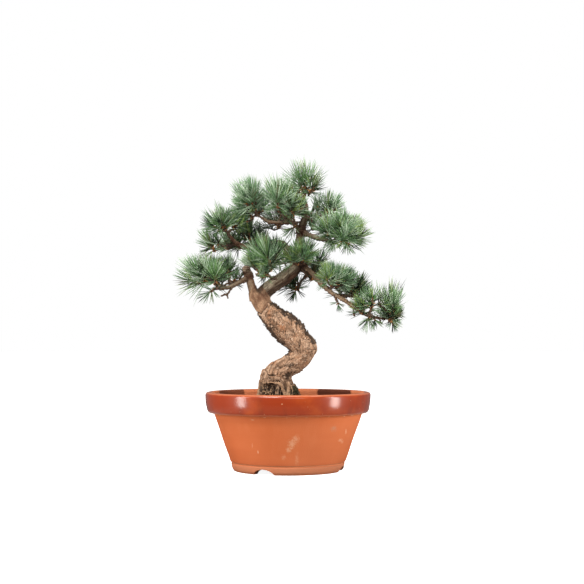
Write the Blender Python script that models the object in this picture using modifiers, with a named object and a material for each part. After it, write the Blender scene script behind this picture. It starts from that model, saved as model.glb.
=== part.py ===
"""A japanese white pine grown as a bonsai, standing in its round clay training pot.

Blender metres, +Z up. The origin is the centre of the pot's underside, on the surface
that the pot stands on. The front of the tree looks along -Y. Tables are in millimetres.
"""

import math
import random

import bmesh
import bpy
import numpy as np
from mathutils import Matrix, Vector
from mathutils.geometry import delaunay_2d_cdt

MM = 0.001
GAP = 0.3  # clear space between two solids that touch on the real plant
WELD = 1e-6  # metres
SHARP_ANGLE = 40.0  # degrees between two faces, from which their edge is sharp

# Pot, radii and heights
RIM_RADIUS = 120.0
POT_HEIGHT = 113.5
BAND_FOOT = 84.0
BAND_FOOT_RADIUS = 117.2
WALL_TOP_RADIUS = 107.7
WALL_FOOT_RADIUS = 83.5
GROOVE_HEIGHT = 12.4
FOOT_RADIUS = 78.0
FOOT_RING_WIDTH = 11.0
UNDERSIDE = 8.0
FLOOR_TOP = 16.0
DRAIN_RADIUS = 17.0
WALL_THICKNESS = 7.5
LIP_THICKNESS = 12.5
LIP_DEPTH = 17.5  # from the rim down to where the inner wall steps in
POT_STEPS = 32
NOTCH_WIDTH = 32.0
NOTCH_HEIGHT = 8.0
NOTCH_DEPTH = 30.0
NOTCH_SIDES = 14
NOTCH_TURNS = (-25.8, 77.0, 207.0)  # degrees from the front, counted to the right

# Soil, domed up to the foot of the trunk, with low heaps of grit
SOIL_TOP = 106.0
SOIL_EDGE = 98.5
SOIL_BRIM = 0.5  # height of its upright edge
SOIL_STEPS = 32
SOIL_DOME = ((0.0, SOIL_TOP), (54.0, SOIL_TOP), (80.0, 103.2), (107.0, SOIL_EDGE))
HEAP_SPACING = 11.4  # between a heap's top and the hollow beside it
HEAP_HEIGHT = 1.9
HEAP_JITTER = 2.2
RELIEF_RANGE = (0.6, 1.0)  # of a heap's or a plate's full height
TRUNK_FOOT = (-12.5, 0.0, 43.0)  # x, y and radius of the even ground under the trunk

# Trunk, as the two sides of its outline: left x, left z, right x, right z
TRUNK_OUTLINE = (
    (-46.0, 100.0, 21.0, 100.0),
    (-43.5, 116.0, 15.0, 115.0),
    (-41.7, 130.0, 8.5, 127.0),
    (-38.8, 141.5, 5.5, 134.5),
    (-26.2, 154.5, 12.5, 140.5),
    (-7.5, 164.5, 29.0, 151.5),
    (1.0, 171.5, 40.5, 170.0),
    (-1.0, 176.5, 42.0, 181.0),
    (-14.0, 187.8, 29.3, 199.1),
    (-32.0, 208.2, 14.8, 217.8),
    (-45.0, 227.5, -11.5, 235.5),
    (-53.5, 243.0, -24.0, 244.5),
    (-56.5, 253.0, -27.0, 254.0),
    (-52.0, 259.0, -34.0, 259.5),
)
TRUNK_DEPTH_SHARE = 0.94  # of its width
TRUNK_SWAY = 6.0  # towards the front, at the middle
TRUNK_SIDES = 16
TRUNK_RINGS_A_SPAN = 2
PLATE_HEIGHT = 1.3  # of the main bark plates, from hollow to top
PLATE_RINGS = (2, 20)  # first and last ring with plates
ROOT_LOBES = 5
ROOT_LOBE_DEPTH = 0.13  # of the trunk's radius
ROOT_LOBE_SWELL = 0.5  # of that depth, added all round
ROOT_FADE = 15.0  # height over which the lobes fade

# Limbs: parent, length of the collar that is one with the parent, sides, then the
# stations x, y, z, radius from inside the parent to the tip
LIMBS = {
    "left_limb": ("trunk", 17.0, 8, (
        (-48.0, 0.0, 246.0, 8.5), (-51.0, 0.0, 260.0, 7.0), (-57.0, -2.0, 280.0, 5.6))),
    "leader": ("trunk", 19.0, 10, (
        (-42.0, 0.0, 245.0, 12.5), (-31.0, 0.0, 261.0, 11.2), (-7.3, 0.0, 278.0, 10.5),
        (19.0, 0.0, 298.5, 8.6))),
    "upper_leader": ("leader", 21.0, 8, (
        (18.5, 0.5, 299.0, 7.0), (15.5, 3.5, 318.0, 6.4), (19.0, 5.0, 347.8, 6.2),
        (26.6, 2.0, 378.0, 3.9), (22.0, 1.0, 396.0, 3.2), (24.5, 0.0, 402.0, 2.8))),
    "low_left_bough": ("left_limb", 11.0, 8, (
        (-57.0, -2.0, 279.5, 5.0), (-72.0, -9.0, 271.5, 4.2), (-84.0, -14.5, 265.0, 3.5),
        (-99.0, -21.0, 262.5, 2.8))),
    "mid_left_bough": ("leader", 22.0, 8, (
        (16.0, 3.0, 300.0, 6.0), (2.0, 11.0, 318.0, 5.8), (-11.0, 14.0, 329.5, 5.8),
        (-38.4, 18.0, 326.0, 5.0), (-63.0, 12.0, 324.5, 4.4), (-78.0, 5.0, 332.0, 3.6),
        (-86.0, -1.0, 341.0, 3.0))),
    "upper_left_bough": ("upper_leader", 12.0, 8, (
        (19.0, 4.5, 348.0, 5.0), (8.0, -5.0, 357.5, 3.8), (-6.0, -9.0, 359.0, 3.3),
        (-27.0, -12.0, 360.0, 3.0), (-43.0, -14.5, 369.0, 2.6))),
    "upper_right_bough": ("upper_leader", 12.0, 8, (
        (19.0, 4.5, 347.8, 5.0), (30.0, -4.0, 341.5, 4.4), (45.0, -10.0, 335.5, 3.8),
        (64.0, -16.0, 332.0, 3.2))),
    "right_bough": ("leader", 15.0, 8, (
        (19.0, -1.0, 297.5, 5.6), (33.4, -7.0, 286.4, 5.0), (50.0, -14.0, 268.5, 4.3),
        (66.0, -18.0, 254.5, 3.9), (81.5, -20.0, 245.4, 3.6), (112.6, -17.0, 225.0, 3.0),
        (138.0, -12.0, 219.5, 2.5))),
    "low_back_bough": ("leader", 15.0, 8, (
        (19.0, 0.0, 299.0, 6.0), (21.0, 22.0, 301.5, 5.0), (16.0, 56.0, 303.0, 3.6))),
    "upper_back_bough": ("upper_leader", 12.0, 8, (
        (19.0, 5.0, 348.0, 5.0), (18.0, 20.0, 351.0, 4.2), (13.0, 40.0, 356.0, 3.2))),
}
LIMB_SPACING = 9.0  # between the rings of a limb
CURVE_SPANS = 12  # steps from station to station, before the rings are spaced evenly
STRAIGHT_END = 1.5  # of a limb and its collar, where they face each other
LOOK_AHEAD = 2.0  # along a limb, to find its direction
CLEAR_OF_CUT = 0.4  # of the ring spacing, without a ring beside the cut

# Burls where old whorls of shoots were cut: limb, x, y, z, radius
BURLS = (
    ("left_limb", -57.0, -2.0, 281.5, 7.4),
    ("left_limb", -60.5, -3.0, 290.0, 6.4),
    ("leader", 18.5, 0.0, 298.5, 10.6),
    ("upper_leader", 19.0, 5.0, 347.8, 8.6),
)

# Foliage: each mass has its limb, the spur that carries it (where it leaves the limb's
# middle line, and which way), or None where it grows on from the tip, and its shoots:
# x, y, z, then the lean to the right and to the back as parts of the height, and reach
FOLIAGE = {
    "low_left_mass": ("low_left_bough", None, (
        (-116.5, -28.0, 271.5, -1.6, -0.25, 53.0), (-103.5, -46.0, 268.0, 0.0, -0.3, 40.0),
        (-107.5, -22.0, 257.0, -0.9, 0.05, -24.0))),
    "low_left_inner_mass": ("low_left_bough", ((-80.0, -12.6, 267.0), (-0.12, 0.3, 0.95)), (
        (-84.5, -6.0, 284.0, -0.1, 0.1, 30.0),)),
    "low_left_back_mass": ("low_left_bough", ((-70.5, -8.0, 272.3), (-0.1, 0.9, 0.4)), (
        (-79.0, 24.0, 272.0, 0.1, 0.5, 33.0), (-98.0, 22.0, 266.0, -0.7, 0.4, 34.0))),
    "mid_left_mass": ("mid_left_bough", None, (
        (-90.9, -6.0, 349.2, -0.3, -0.15, 36.0), (-80.0, 14.0, 352.0, 0.25, 0.2, 32.0))),
    "mid_left_low_mass": ("mid_left_bough", ((-75.0, 6.6, 330.0), (-0.82, 0.1, -0.55)), (
        (-107.4, -2.0, 318.2, -0.6, -0.1, 42.0), (-89.0, 26.0, 324.0, -0.2, 0.5, 30.0))),
    "mid_back_mass": ("mid_left_bough", ((-38.4, 18.0, 326.0), (-0.35, 0.9, 0.2)), (
        (-58.0, 46.0, 335.0, -0.1, 0.2, 40.0), (-74.0, 56.0, 326.0, -0.8, 0.5, 34.0),
        (-38.0, 66.0, 330.0, 0.2, 0.8, 36.0))),
    "upper_left_mass": ("upper_left_bough", None, (
        (-48.5, -15.5, 377.5, -0.32, -0.1, 49.0), (-52.5, -8.0, 366.0, -1.5, 0.2, 38.0))),
    "upper_mid_mass": ("upper_left_bough", ((-9.0, -9.5, 359.1), (0.05, -0.35, 0.95)), (
        (-12.0, -20.0, 375.5, -0.2, -0.15, 55.0), (7.5, -15.0, 368.0, 0.05, -0.1, 46.0))),
    "top_mass": ("upper_leader", None, (
        (25.7, 0.0, 407.5, 0.0, 0.0, 50.0), (31.0, -7.0, 402.0, 0.55, -0.3, 36.0),
        (18.0, 14.0, 401.0, -0.5, 0.8, 40.0))),
    "upper_right_back_mass": ("upper_leader", ((23.6, 3.2, 366.0), (0.72, 0.6, 0.2)), (
        (57.6, 25.0, 375.5, 0.1, 0.15, 36.0), (44.0, 34.0, 372.0, 0.0, 0.8, 36.0))),
    "right_mass": ("upper_right_bough", None, (
        (72.2, -22.0, 335.0, -0.55, -0.15, 46.0), (81.0, -17.0, 336.0, 0.15, -0.05, 49.0),
        (90.0, -6.0, 334.0, 0.75, 0.1, 44.0), (80.0, -31.0, 331.5, 0.2, -1.6, 36.0))),
    "right_back_mass": ("upper_right_bough", ((45.0, -10.0, 335.5), (0.25, 0.9, 0.15)), (
        (62.0, 38.0, 345.0, -0.1, 0.25, 40.0), (86.0, 44.0, 340.0, 0.6, 0.5, 38.0))),
    "upper_back_mass": ("upper_back_bough", None, (
        (6.0, 50.0, 372.0, -0.4, 0.3, 40.0), (27.0, 58.0, 366.0, 0.4, 0.6, 40.0),
        (-14.0, 56.0, 358.0, -0.9, 0.5, 38.0))),
    "low_back_mass": ("low_back_bough", None, (
        (-6.0, 66.0, 306.0, -0.7, 0.4, 36.0), (20.0, 76.0, 307.0, 0.1, 0.9, 36.0),
        (46.0, 62.0, 300.0, 0.7, 0.4, 36.0))),
    "centre_left_mass": ("leader", ((-13.0, 0.0, 273.9), (-0.35, -0.86, 0.36)), (
        (-25.0, -34.0, 288.0, -0.22, -0.12, 61.0), (-30.0, -28.0, 280.0, -1.3, -0.5, 40.0))),
    "centre_right_mass": ("leader", ((18.5, 0.0, 298.5), (0.1, -0.95, 0.12)), (
        (22.5, -24.0, 301.0, 0.1, -0.1, 38.0), (13.0, -27.0, 297.0, -0.7, -0.7, 32.0))),
    "right_inner_mass": ("right_bough", ((58.0, -16.2, 261.3), (0.1, -0.55, 0.83)), (
        (61.9, -27.0, 267.5, 0.0, -0.15, 39.0), (71.0, -19.0, 266.0, 0.8, 0.1, 37.0))),
    "right_under_mass": ("right_bough", ((67.5, -18.2, 253.4), (0.2, -0.1, -0.97)), (
        (71.5, -19.5, 243.0, 0.3, 0.0, -14.0),)),
    "right_low_back_mass": ("right_bough", ((75.0, -19.2, 249.0), (0.15, 0.97, 0.2)), (
        (78.0, 26.0, 254.0, -0.1, 0.4, 38.0), (98.0, 20.0, 252.5, 0.3, 0.2, 37.0))),
    "right_outer_mass": ("right_bough", ((112.6, -17.0, 225.0), (0.35, -0.6, 0.72)), (
        (119.7, -27.0, 233.0, -0.2, -0.15, 40.0), (124.0, -30.0, 219.0, 0.0, -1.5, -20.0))),
    "right_tip_mass": ("right_bough", None, (
        (145.5, -14.0, 224.5, 0.12, -0.1, 52.0), (148.0, -19.0, 216.5, 0.9, -0.5, 36.0),
        (146.0, -4.0, 221.0, 0.4, 0.9, 36.0))),
    "hanging_mass": ("leader", ((18.5, 0.0, 298.5), (0.1, 0.75, -0.66)), (
        (14.5, 18.0, 263.0, -0.8, 0.1, 34.0), (34.0, 16.0, 277.0, 0.6, 0.2, 32.0))),
}

# Needles: each spike stands for a sheath of five, drawn together
CORE_SHARE = 0.3  # of a shoot's reach
NEEDLE_SHARE = 0.76
NEEDLE_LIMITS = (26.0, 39.0)
SHEATH_RADIUS = 0.8  # at the root of a spike
BELLY_RADIUS = 2.5
BELLY_SHARE = 0.48  # of the way out
NEEDLES_A_SHOOT = 10
NEEDLE_TRIES = (1.0, 0.8, 0.62)  # of its length, until it fits
NEEDLE_SAMPLES = 14
NEEDLE_FEET = (0.12, 0.92)  # of the shoot's core, first and last
LOWEST_TILT = 88.0  # degrees from the shoot, at its foot
TOP_TILT = 9.0
TILT_EASE = 0.85
TILT_JITTER = 0.08  # radians
LENGTH_RANGE = (0.9, 1.08)  # of a needle's full length
CORE_FOOT_RADIUS = 2.8
CORE_TOP_RADIUS = 1.7
CORE_SIDES = 3
CORE_MIDDLE = 0.7  # of its height, where a shoot's own space is measured from
SPUR_RADIUS = 2.2
SPUR_FOOT_RADIUS = 2.6
SPUR_SIDES = 5
SPUR_PROUD = 3.0  # past the limb's surface
STEM_RADIUS = 1.9
TWIG_FOOT_RADIUS = 1.8
TWIG_RADIUS = 1.4
TWIG_OVERLAP = 0.8  # past its ends
STEM_LENGTH = 5.0
FORK_LIMIT = 0.72  # furthest along a twig that the next one leaves it
SPACE_MARGIN = 0.8  # between the needles of two masses
NEEDLE_CLEAR = 0.8  # from the wood of another solid
FIRST_CLEAR = 0.2  # of a needle's length, inside its own shoot
GOLDEN_ANGLE = math.pi * (3 - math.sqrt(5))

# Open sky seen from the front: x from, x to, z from, z to
SKY = (
    (-33.0, 2.0, 336.0, 355.0),
    (-114.0, -106.0, 302.0, 308.0),
    (62.0, 104.0, 303.0, 314.0),
    (29.5, 36.0, 377.0, 398.0),
)
CROWN_SIDES = (-165.5, 166.5)  # x that no needle passes


def clear_scene():
    for obj in list(bpy.data.objects):
        bpy.data.objects.remove(obj)


def collection(name):
    made = bpy.data.collections.new(name)
    bpy.context.scene.collection.children.link(made)
    return made


def material(name, colour, roughness):
    made = bpy.data.materials.new(name)
    made.use_nodes = True
    shader = made.node_tree.nodes["Principled BSDF"]
    shader.inputs["Base Color"].default_value = (*colour, 1.0)
    shader.inputs["Roughness"].default_value = roughness
    shader.inputs["Metallic"].default_value = 0.0
    return made


def place(name, mesh, group):
    obj = bpy.data.objects.new(name, mesh)
    group.objects.link(obj)
    return obj


def from_bmesh(name, bm, group):
    mesh = bpy.data.meshes.new(name)
    bm.to_mesh(mesh)
    bm.free()
    return place(name, mesh, group)


def finish(obj, look):
    obj.data.materials.clear()
    obj.data.materials.append(look)
    obj.data.shade_smooth()
    obj.data.set_sharp_from_angle(angle=math.radians(SHARP_ANGLE))


def evaluated_mesh(obj):
    graph = bpy.context.evaluated_depsgraph_get()
    return bpy.data.meshes.new_from_object(obj.evaluated_get(graph))


def screw(name, profile, steps, group):
    """A turned solid from a closed profile of radius and height in millimetres."""
    mesh = bpy.data.meshes.new(name)
    points = [(r * MM, 0.0, z * MM) for r, z in profile]
    edges = [(i, (i + 1) % len(points)) for i in range(len(points))]
    mesh.from_pydata(points, edges, [])
    obj = place(name, mesh, group)
    turn = obj.modifiers.new("Turn", "SCREW")
    turn.axis = "Z"
    turn.steps = steps
    turn.render_steps = steps
    turn.use_merge_vertices = True
    turn.merge_threshold = WELD
    return obj


def pot_profile():
    """Down the outside from the lip, under the foot, and up the inside."""
    foot_inner = FOOT_RADIUS - FOOT_RING_WIDTH
    inner_foot = WALL_FOOT_RADIUS - WALL_THICKNESS
    inner_top = WALL_TOP_RADIUS - WALL_THICKNESS
    lip_inner = RIM_RADIUS - LIP_THICKNESS
    return (
        (RIM_RADIUS - 4.5, POT_HEIGHT),
        (RIM_RADIUS - 1.2, POT_HEIGHT - 1.2),
        (RIM_RADIUS, POT_HEIGHT - 4.0),
        (BAND_FOOT_RADIUS, BAND_FOOT + 3.0),
        (BAND_FOOT_RADIUS - 2.4, BAND_FOOT),
        (WALL_TOP_RADIUS, BAND_FOOT - 1.0),
        (WALL_FOOT_RADIUS + 0.3, GROOVE_HEIGHT + 1.4),
        (WALL_FOOT_RADIUS - 1.4, GROOVE_HEIGHT),
        (WALL_FOOT_RADIUS - 0.4, GROOVE_HEIGHT - 1.6),
        (FOOT_RADIUS + 1.8, 3.6),
        (FOOT_RADIUS, 0.0),
        (foot_inner, 0.0),
        (foot_inner - 1.5, UNDERSIDE),
        (DRAIN_RADIUS, UNDERSIDE),
        (DRAIN_RADIUS, FLOOR_TOP),
        (inner_foot, FLOOR_TOP),
        (inner_top, BAND_FOOT),
        (lip_inner, POT_HEIGHT - LIP_DEPTH),
        (lip_inner, POT_HEIGHT - 4.0),
        (lip_inner + 2.5, POT_HEIGHT - 0.6),
    )


def make_pot(group, cutters, look):
    pot = screw("pot", pot_profile(), POT_STEPS, group)
    for number, degrees in enumerate(NOTCH_TURNS):
        turn = math.radians(degrees)
        outward = Vector((math.sin(turn), -math.cos(turn), 0.0))
        bm = bmesh.new()
        squash = Matrix.Diagonal((1.0, 2.0 * (NOTCH_HEIGHT + 1.0) / NOTCH_WIDTH, 1.0, 1.0))
        bmesh.ops.create_cone(
            bm, cap_ends=True, segments=NOTCH_SIDES, radius1=NOTCH_WIDTH / 2 * MM,
            radius2=NOTCH_WIDTH / 2 * MM, depth=NOTCH_DEPTH * MM, matrix=squash)
        cutter = from_bmesh(f"notch_cutter_{number + 1}", bm, cutters)
        cutter.rotation_euler = outward.to_track_quat("Z", "Y").to_euler()
        cutter.location = outward * FOOT_RADIUS * MM - Vector((0.0, 0.0, 1.0)) * MM
        cutter.hide_render = True
        cutter.display_type = "WIRE"
        cut = pot.modifiers.new(f"Notch {number + 1}", "BOOLEAN")
        cut.operation = "DIFFERENCE"
        cut.object = cutter
    finish(pot, look)


def heaps(edge_radius):
    """Points over the dome, by turns the top of a low heap of grit and a hollow."""
    rng = random.Random(5)
    reach = math.ceil(edge_radius / HEAP_SPACING)
    foot, foot_radius = Vector(TRUNK_FOOT[:2]), TRUNK_FOOT[2]
    points = []
    for column in range(-reach, reach + 1):
        for row in range(-reach, reach + 1):
            spot = Vector((column, row)) * HEAP_SPACING
            spot += Vector((rng.uniform(-1.0, 1.0), rng.uniform(-1.0, 1.0))) * HEAP_JITTER
            sunk = HEAP_HEIGHT * rng.uniform(*RELIEF_RANGE) * ((column + row) % 2)
            from_foot = (spot - foot).length - foot_radius
            if spot.length > edge_radius - HEAP_SPACING / 2 or from_foot < -HEAP_SPACING:
                continue
            if from_foot < 0.0:
                sunk = 0.0
            level = np.interp(spot.length, *zip(*SOIL_DOME))
            points.append((spot.x, spot.y, float(level) - sunk))
    return points


def make_soil(group, look):
    """Fills the pot, clear of it all round, with a low dome under the trunk."""
    foot = WALL_FOOT_RADIUS - WALL_THICKNESS - 2 * GAP
    top = WALL_TOP_RADIUS - WALL_THICKNESS - 2 * GAP
    rim = RIM_RADIUS - LIP_THICKNESS - 1.0 - GAP
    bm = bmesh.new()
    rings = []
    for radius, height in ((rim, SOIL_EDGE), (rim - GAP, SOIL_EDGE - SOIL_BRIM),
                           (top, BAND_FOOT + GAP), (foot, FLOOR_TOP + GAP)):
        made = bmesh.ops.create_circle(
            bm, cap_ends=False, segments=SOIL_STEPS, radius=radius,
            matrix=Matrix.Translation((0.0, 0.0, height)))
        rings.append(made["verts"])
    for upper, lower in zip(rings, rings[1:]):
        for side in range(SOIL_STEPS):
            after = (side + 1) % SOIL_STEPS
            bm.faces.new((upper[side], lower[side], lower[after], upper[after]))
    bm.faces.new(rings[-1])
    surface = rings[0] + [bm.verts.new(point) for point in heaps(rim)]
    flat = [vert.co.to_2d() for vert in surface]
    triangles = delaunay_2d_cdt(flat, [], [], 0, WELD)[2]
    for triangle in triangles:
        bm.faces.new([surface[corner] for corner in triangle])
    bmesh.ops.scale(bm, vec=(MM, MM, MM), verts=bm.verts)
    bmesh.ops.recalc_face_normals(bm, faces=bm.faces)
    finish(from_bmesh("soil", bm, group), look)


def catmull_rom(rows, spans):
    """The smooth curve through rows of numbers, with that many steps between two rows."""
    rows = [Vector(row) for row in rows]
    ends = [rows[0] * 2 - rows[1], *rows, rows[-1] * 2 - rows[-2]]
    out = []
    for i in range(len(rows) - 1):
        a, b, c, d = ends[i:i + 4]
        for step in range(spans):
            t = step / spans
            out.append(0.5 * (2 * b + (c - a) * t + (2 * a - 5 * b + 4 * c - d) * t * t
                              + (3 * b - 3 * c + d - a) * t ** 3))
    out.append(rows[-1])
    return out


def even_path(stations, spacing):
    """Stations x, y, z, radius as a smooth path of evenly spaced rows."""
    dense = np.array([tuple(row) for row in catmull_rom(stations, CURVE_SPANS)])
    steps = np.linalg.norm(np.diff(dense[:, :3], axis=0), axis=1)
    along = np.concatenate(([0.0], np.cumsum(steps)))
    count = max(2, round(along[-1] / spacing)) + 1
    wanted = np.linspace(0.0, along[-1], count)
    return wanted, np.column_stack([np.interp(wanted, along, dense[:, k]) for k in range(4)])


def point_at(along, path, where):
    return np.array([np.interp(where, along, path[:, k]) for k in range(4)])


def split_path(stations, collar):
    """The collar's rows and the limb's own rows, with flat ends that face each other."""
    along, path = even_path(stations, LIMB_SPACING)
    cut = point_at(along, path, collar)
    ahead = point_at(along, path, collar + LOOK_AHEAD)[:3] - cut[:3]
    ahead = np.append(ahead / np.linalg.norm(ahead), 0.0)
    near = LIMB_SPACING * CLEAR_OF_CUT
    inner = [row for s, row in zip(along, path) if s < collar - near]
    outer = [row for s, row in zip(along, path) if s > collar + near]
    collar_rows = [*inner, cut - ahead * STRAIGHT_END, cut]
    limb_rows = [cut + ahead * GAP, cut + ahead * (GAP + STRAIGHT_END), *outer]
    return collar_rows, limb_rows


def tube(name, rows, sides, group):
    """A round bar that follows rows of x, y, z, radius, as a closed mesh."""
    curve = bpy.data.curves.new(name, "CURVE")
    curve.dimensions = "3D"
    curve.bevel_depth = 1.0
    curve.bevel_resolution = (sides - 4) // 2
    curve.use_fill_caps = True
    spline = curve.splines.new("POLY")
    spline.points.add(len(rows) - 1)
    for point, row in zip(spline.points, rows):
        point.co = (row[0] * MM, row[1] * MM, row[2] * MM, 1.0)
        point.radius = row[3] * MM
    guide = bpy.data.objects.new(f"{name}_guide", curve)
    group.objects.link(guide)
    mesh = evaluated_mesh(guide)
    bm = bmesh.new()
    bm.from_mesh(mesh)
    bmesh.ops.remove_doubles(bm, verts=bm.verts, dist=WELD)
    bm.to_mesh(mesh)
    bm.free()
    made = bpy.data.objects.new(name, mesh)
    made.matrix_world = guide.matrix_world
    bpy.data.objects.remove(guide)
    group.objects.link(made)
    return made


def cone(name, start, end, foot_radius, top_radius, sides, group):
    """A straight tapered bar between two points in millimetres."""
    start, end = Vector(start), Vector(end)
    ahead = end - start
    turn = ahead.to_track_quat("Z", "Y").to_matrix().to_4x4()
    middle = Matrix.Translation((start + end) / 2 * MM) @ turn
    bm = bmesh.new()
    bmesh.ops.create_cone(
        bm, cap_ends=True, segments=sides, radius1=foot_radius * MM,
        radius2=top_radius * MM, depth=ahead.length * MM, matrix=middle)
    return from_bmesh(name, bm, group)


def spike(name, root, tip, group):
    """A three-sided needle, narrow at its sheath, widest at its belly, and pointed."""
    ahead = tip - root
    turn = ahead.to_track_quat("Z", "Y").to_matrix().to_4x4()
    bm = bmesh.new()
    for low, high, foot, top in (
            (0.0, BELLY_SHARE, SHEATH_RADIUS, BELLY_RADIUS), (BELLY_SHARE, 1.0, BELLY_RADIUS, 0.0)):
        middle = Matrix.Translation(root.lerp(tip, (low + high) / 2) * MM) @ turn
        bmesh.ops.create_cone(
            bm, cap_ends=False, segments=3, radius1=foot * MM, radius2=top * MM,
            depth=ahead.length * (high - low) * MM, matrix=middle)
    bmesh.ops.remove_doubles(bm, verts=bm.verts, dist=WELD)
    bmesh.ops.holes_fill(bm, edges=[e for e in bm.edges if e.is_boundary], sides=0)
    bmesh.ops.recalc_face_normals(bm, faces=bm.faces)
    return from_bmesh(name, bm, group)


def ball(name, centre, radius, group):
    bm = bmesh.new()
    place_at = Matrix.Translation(Vector(centre) * MM)
    bmesh.ops.create_icosphere(bm, subdivisions=2, radius=radius * MM, matrix=place_at)
    return from_bmesh(name, bm, group)


def largest_shell(mesh):
    """Leaves the outer skin only: no scrap and no sealed hollow."""
    bm = bmesh.new()
    bm.from_mesh(mesh)
    left = set(bm.faces)
    shells = []
    while left:
        todo = [left.pop()]
        shell = list(todo)
        while todo:
            for edge in todo.pop().edges:
                for face in edge.link_faces:
                    if face in left:
                        left.remove(face)
                        todo.append(face)
                        shell.append(face)
        shells.append(shell)
    shells.sort(key=len, reverse=True)
    loose = [face for shell in shells[1:] for face in shell]
    bmesh.ops.delete(bm, geom=loose, context="FACES")
    bm.to_mesh(mesh)
    bm.free()
    return mesh


def fuse(base, others):
    """Joins the solids of a collection to a base solid and removes the collection's own."""
    if not others.objects:
        return base
    join = base.modifiers.new("Join", "BOOLEAN")
    join.operation = "UNION"
    join.operand_type = "COLLECTION"
    join.collection = others
    join.solver = "MANIFOLD"
    mesh = evaluated_mesh(base)
    base.modifiers.clear()
    base.data = largest_shell(mesh)
    for obj in list(others.objects):
        bpy.data.objects.remove(obj)
    return base


def trunk_body(group):
    """Rings across the outline, set round in depth, then cut flat at the soil."""
    rings = catmull_rom(TRUNK_OUTLINE, TRUNK_RINGS_A_SPAN)
    rng = random.Random(3)
    bm = bmesh.new()
    loops = []
    for number, (left_x, left_z, right_x, right_z) in enumerate(rings):
        sway = -TRUNK_SWAY * math.sin(math.pi * number / (len(rings) - 1))
        middle = Vector(((left_x + right_x) / 2, sway, (left_z + right_z) / 2))
        across = Vector((right_x - left_x, 0.0, right_z - left_z))
        half = across.length / 2
        across.normalize()
        into = Vector((0.0, 1.0, 0.0))
        up = across.cross(into)
        frame = Matrix((across, into, up)).transposed().to_4x4()
        size = Matrix.Diagonal((half, half * TRUNK_DEPTH_SHARE, half, 1.0))
        made = bmesh.ops.create_circle(
            bm, cap_ends=False, segments=TRUNK_SIDES, radius=1.0,
            matrix=Matrix.Translation(middle) @ frame @ size)
        plated = PLATE_RINGS[0] <= number <= PLATE_RINGS[1]
        for side, vert in enumerate(made["verts"]):
            out = vert.co - middle
            angle = math.atan2(out.y, out.x)
            fade = math.exp(-max(0.0, vert.co.z - SOIL_TOP) / ROOT_FADE)
            vert.co += out * ROOT_LOBE_DEPTH * fade * (ROOT_LOBE_SWELL + math.cos(ROOT_LOBES * angle))
            raised = 0.5 if (number + side) % 2 else -0.5
            plate = PLATE_HEIGHT * raised * rng.uniform(*RELIEF_RANGE) * plated
            vert.co += out.normalized() * plate
        loops.append([e for v in made["verts"] for e in v.link_edges if e.verts[0] is v])
    for lower, upper in zip(loops, loops[1:]):
        bmesh.ops.bridge_loops(bm, edges=lower + upper)
    bmesh.ops.contextual_create(bm, geom=loops[-1])
    bmesh.ops.scale(bm, vec=(MM, MM, MM), verts=bm.verts)
    bmesh.ops.bisect_plane(
        bm, geom=[*bm.verts, *bm.edges, *bm.faces], plane_co=(0, 0, (SOIL_TOP + GAP) * MM),
        plane_no=(0, 0, -1), clear_outer=True)
    bmesh.ops.holes_fill(bm, edges=[e for e in bm.edges if e.is_boundary], sides=0)
    bmesh.ops.recalc_face_normals(bm, faces=bm.faces)
    return from_bmesh("trunk", bm, group)


class Wood:
    """Every bar of wood as tapered lines, to keep needles clear of it."""

    def __init__(self):
        self.owners = []
        self.rows = []

    def add(self, owner, start, end, radius):
        self.owners.append(owner)
        self.rows.append((*start, *end, radius))

    def clearance(self, points, owner):
        """The distance from each point to the nearest wood of any other owner."""
        rows = np.array([r for o, r in zip(self.owners, self.rows) if o != owner])
        start, run, radius = rows[:, :3], rows[:, 3:6] - rows[:, :3], rows[:, 6]
        length = np.maximum((run ** 2).sum(axis=1), 1e-9)
        away = points[:, None, :] - start[None]
        share = np.clip((away * run[None]).sum(axis=2) / length, 0.0, 1.0)
        nearest = start[None] + share[..., None] * run[None]
        return (np.linalg.norm(points[:, None, :] - nearest, axis=2) - radius[None]).min(axis=1)


def add_rows(wood, owner, rows):
    for a, b in zip(rows, rows[1:]):
        wood.add(owner, a[:3], b[:3], max(a[3], b[3]))


def spur_of(limb, root, toward, limb_radius, wood):
    """Where a spur starts and ends, as it stands proud of its limb."""
    start = Vector(root)
    ahead = Vector(toward).normalized()
    end = start + ahead * (limb_radius + SPUR_PROUD)
    wood.add(limb, start, end, SPUR_RADIUS)
    return start, end, ahead


def radius_near(limb, point):
    """A limb's radius where a point lies nearest its middle line."""
    if any(Vector(b[1:4]) == Vector(point) for b in BURLS if b[0] == limb):
        return max(b[4] for b in BURLS if b[0] == limb)
    _, path = even_path(LIMBS[limb][3], LIMB_SPACING)
    nearest = np.linalg.norm(path[:, :3] - np.array(point), axis=1).argmin()
    return path[nearest, 3]


def shoot_axis(lean_x, lean_y, reach):
    """The way a shoot points; a negative reach hangs down."""
    return Vector((lean_x, lean_y, 1.0 if reach > 0 else -1.0)).normalized()


def twig_plan(start, ahead, feet):
    """Bars from one stem: each twig leaves the bars before it at their nearest point."""
    fork = start + ahead * STEM_LENGTH
    bars = [(start, fork, STEM_RADIUS, STEM_RADIUS)]
    for foot in sorted(feet, key=lambda p: (p - fork).length):
        best = fork
        for a, b, _, _ in bars[1:]:
            share = (foot - a).dot(b - a) / (b - a).length_squared
            near = a.lerp(b, min(max(share, 0.0), 1.0) * FORK_LIMIT)
            if (near - foot).length < (best - foot).length:
                best = near
        bars.append((best, foot, TWIG_FOOT_RADIUS, TWIG_RADIUS))
    return bars


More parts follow.
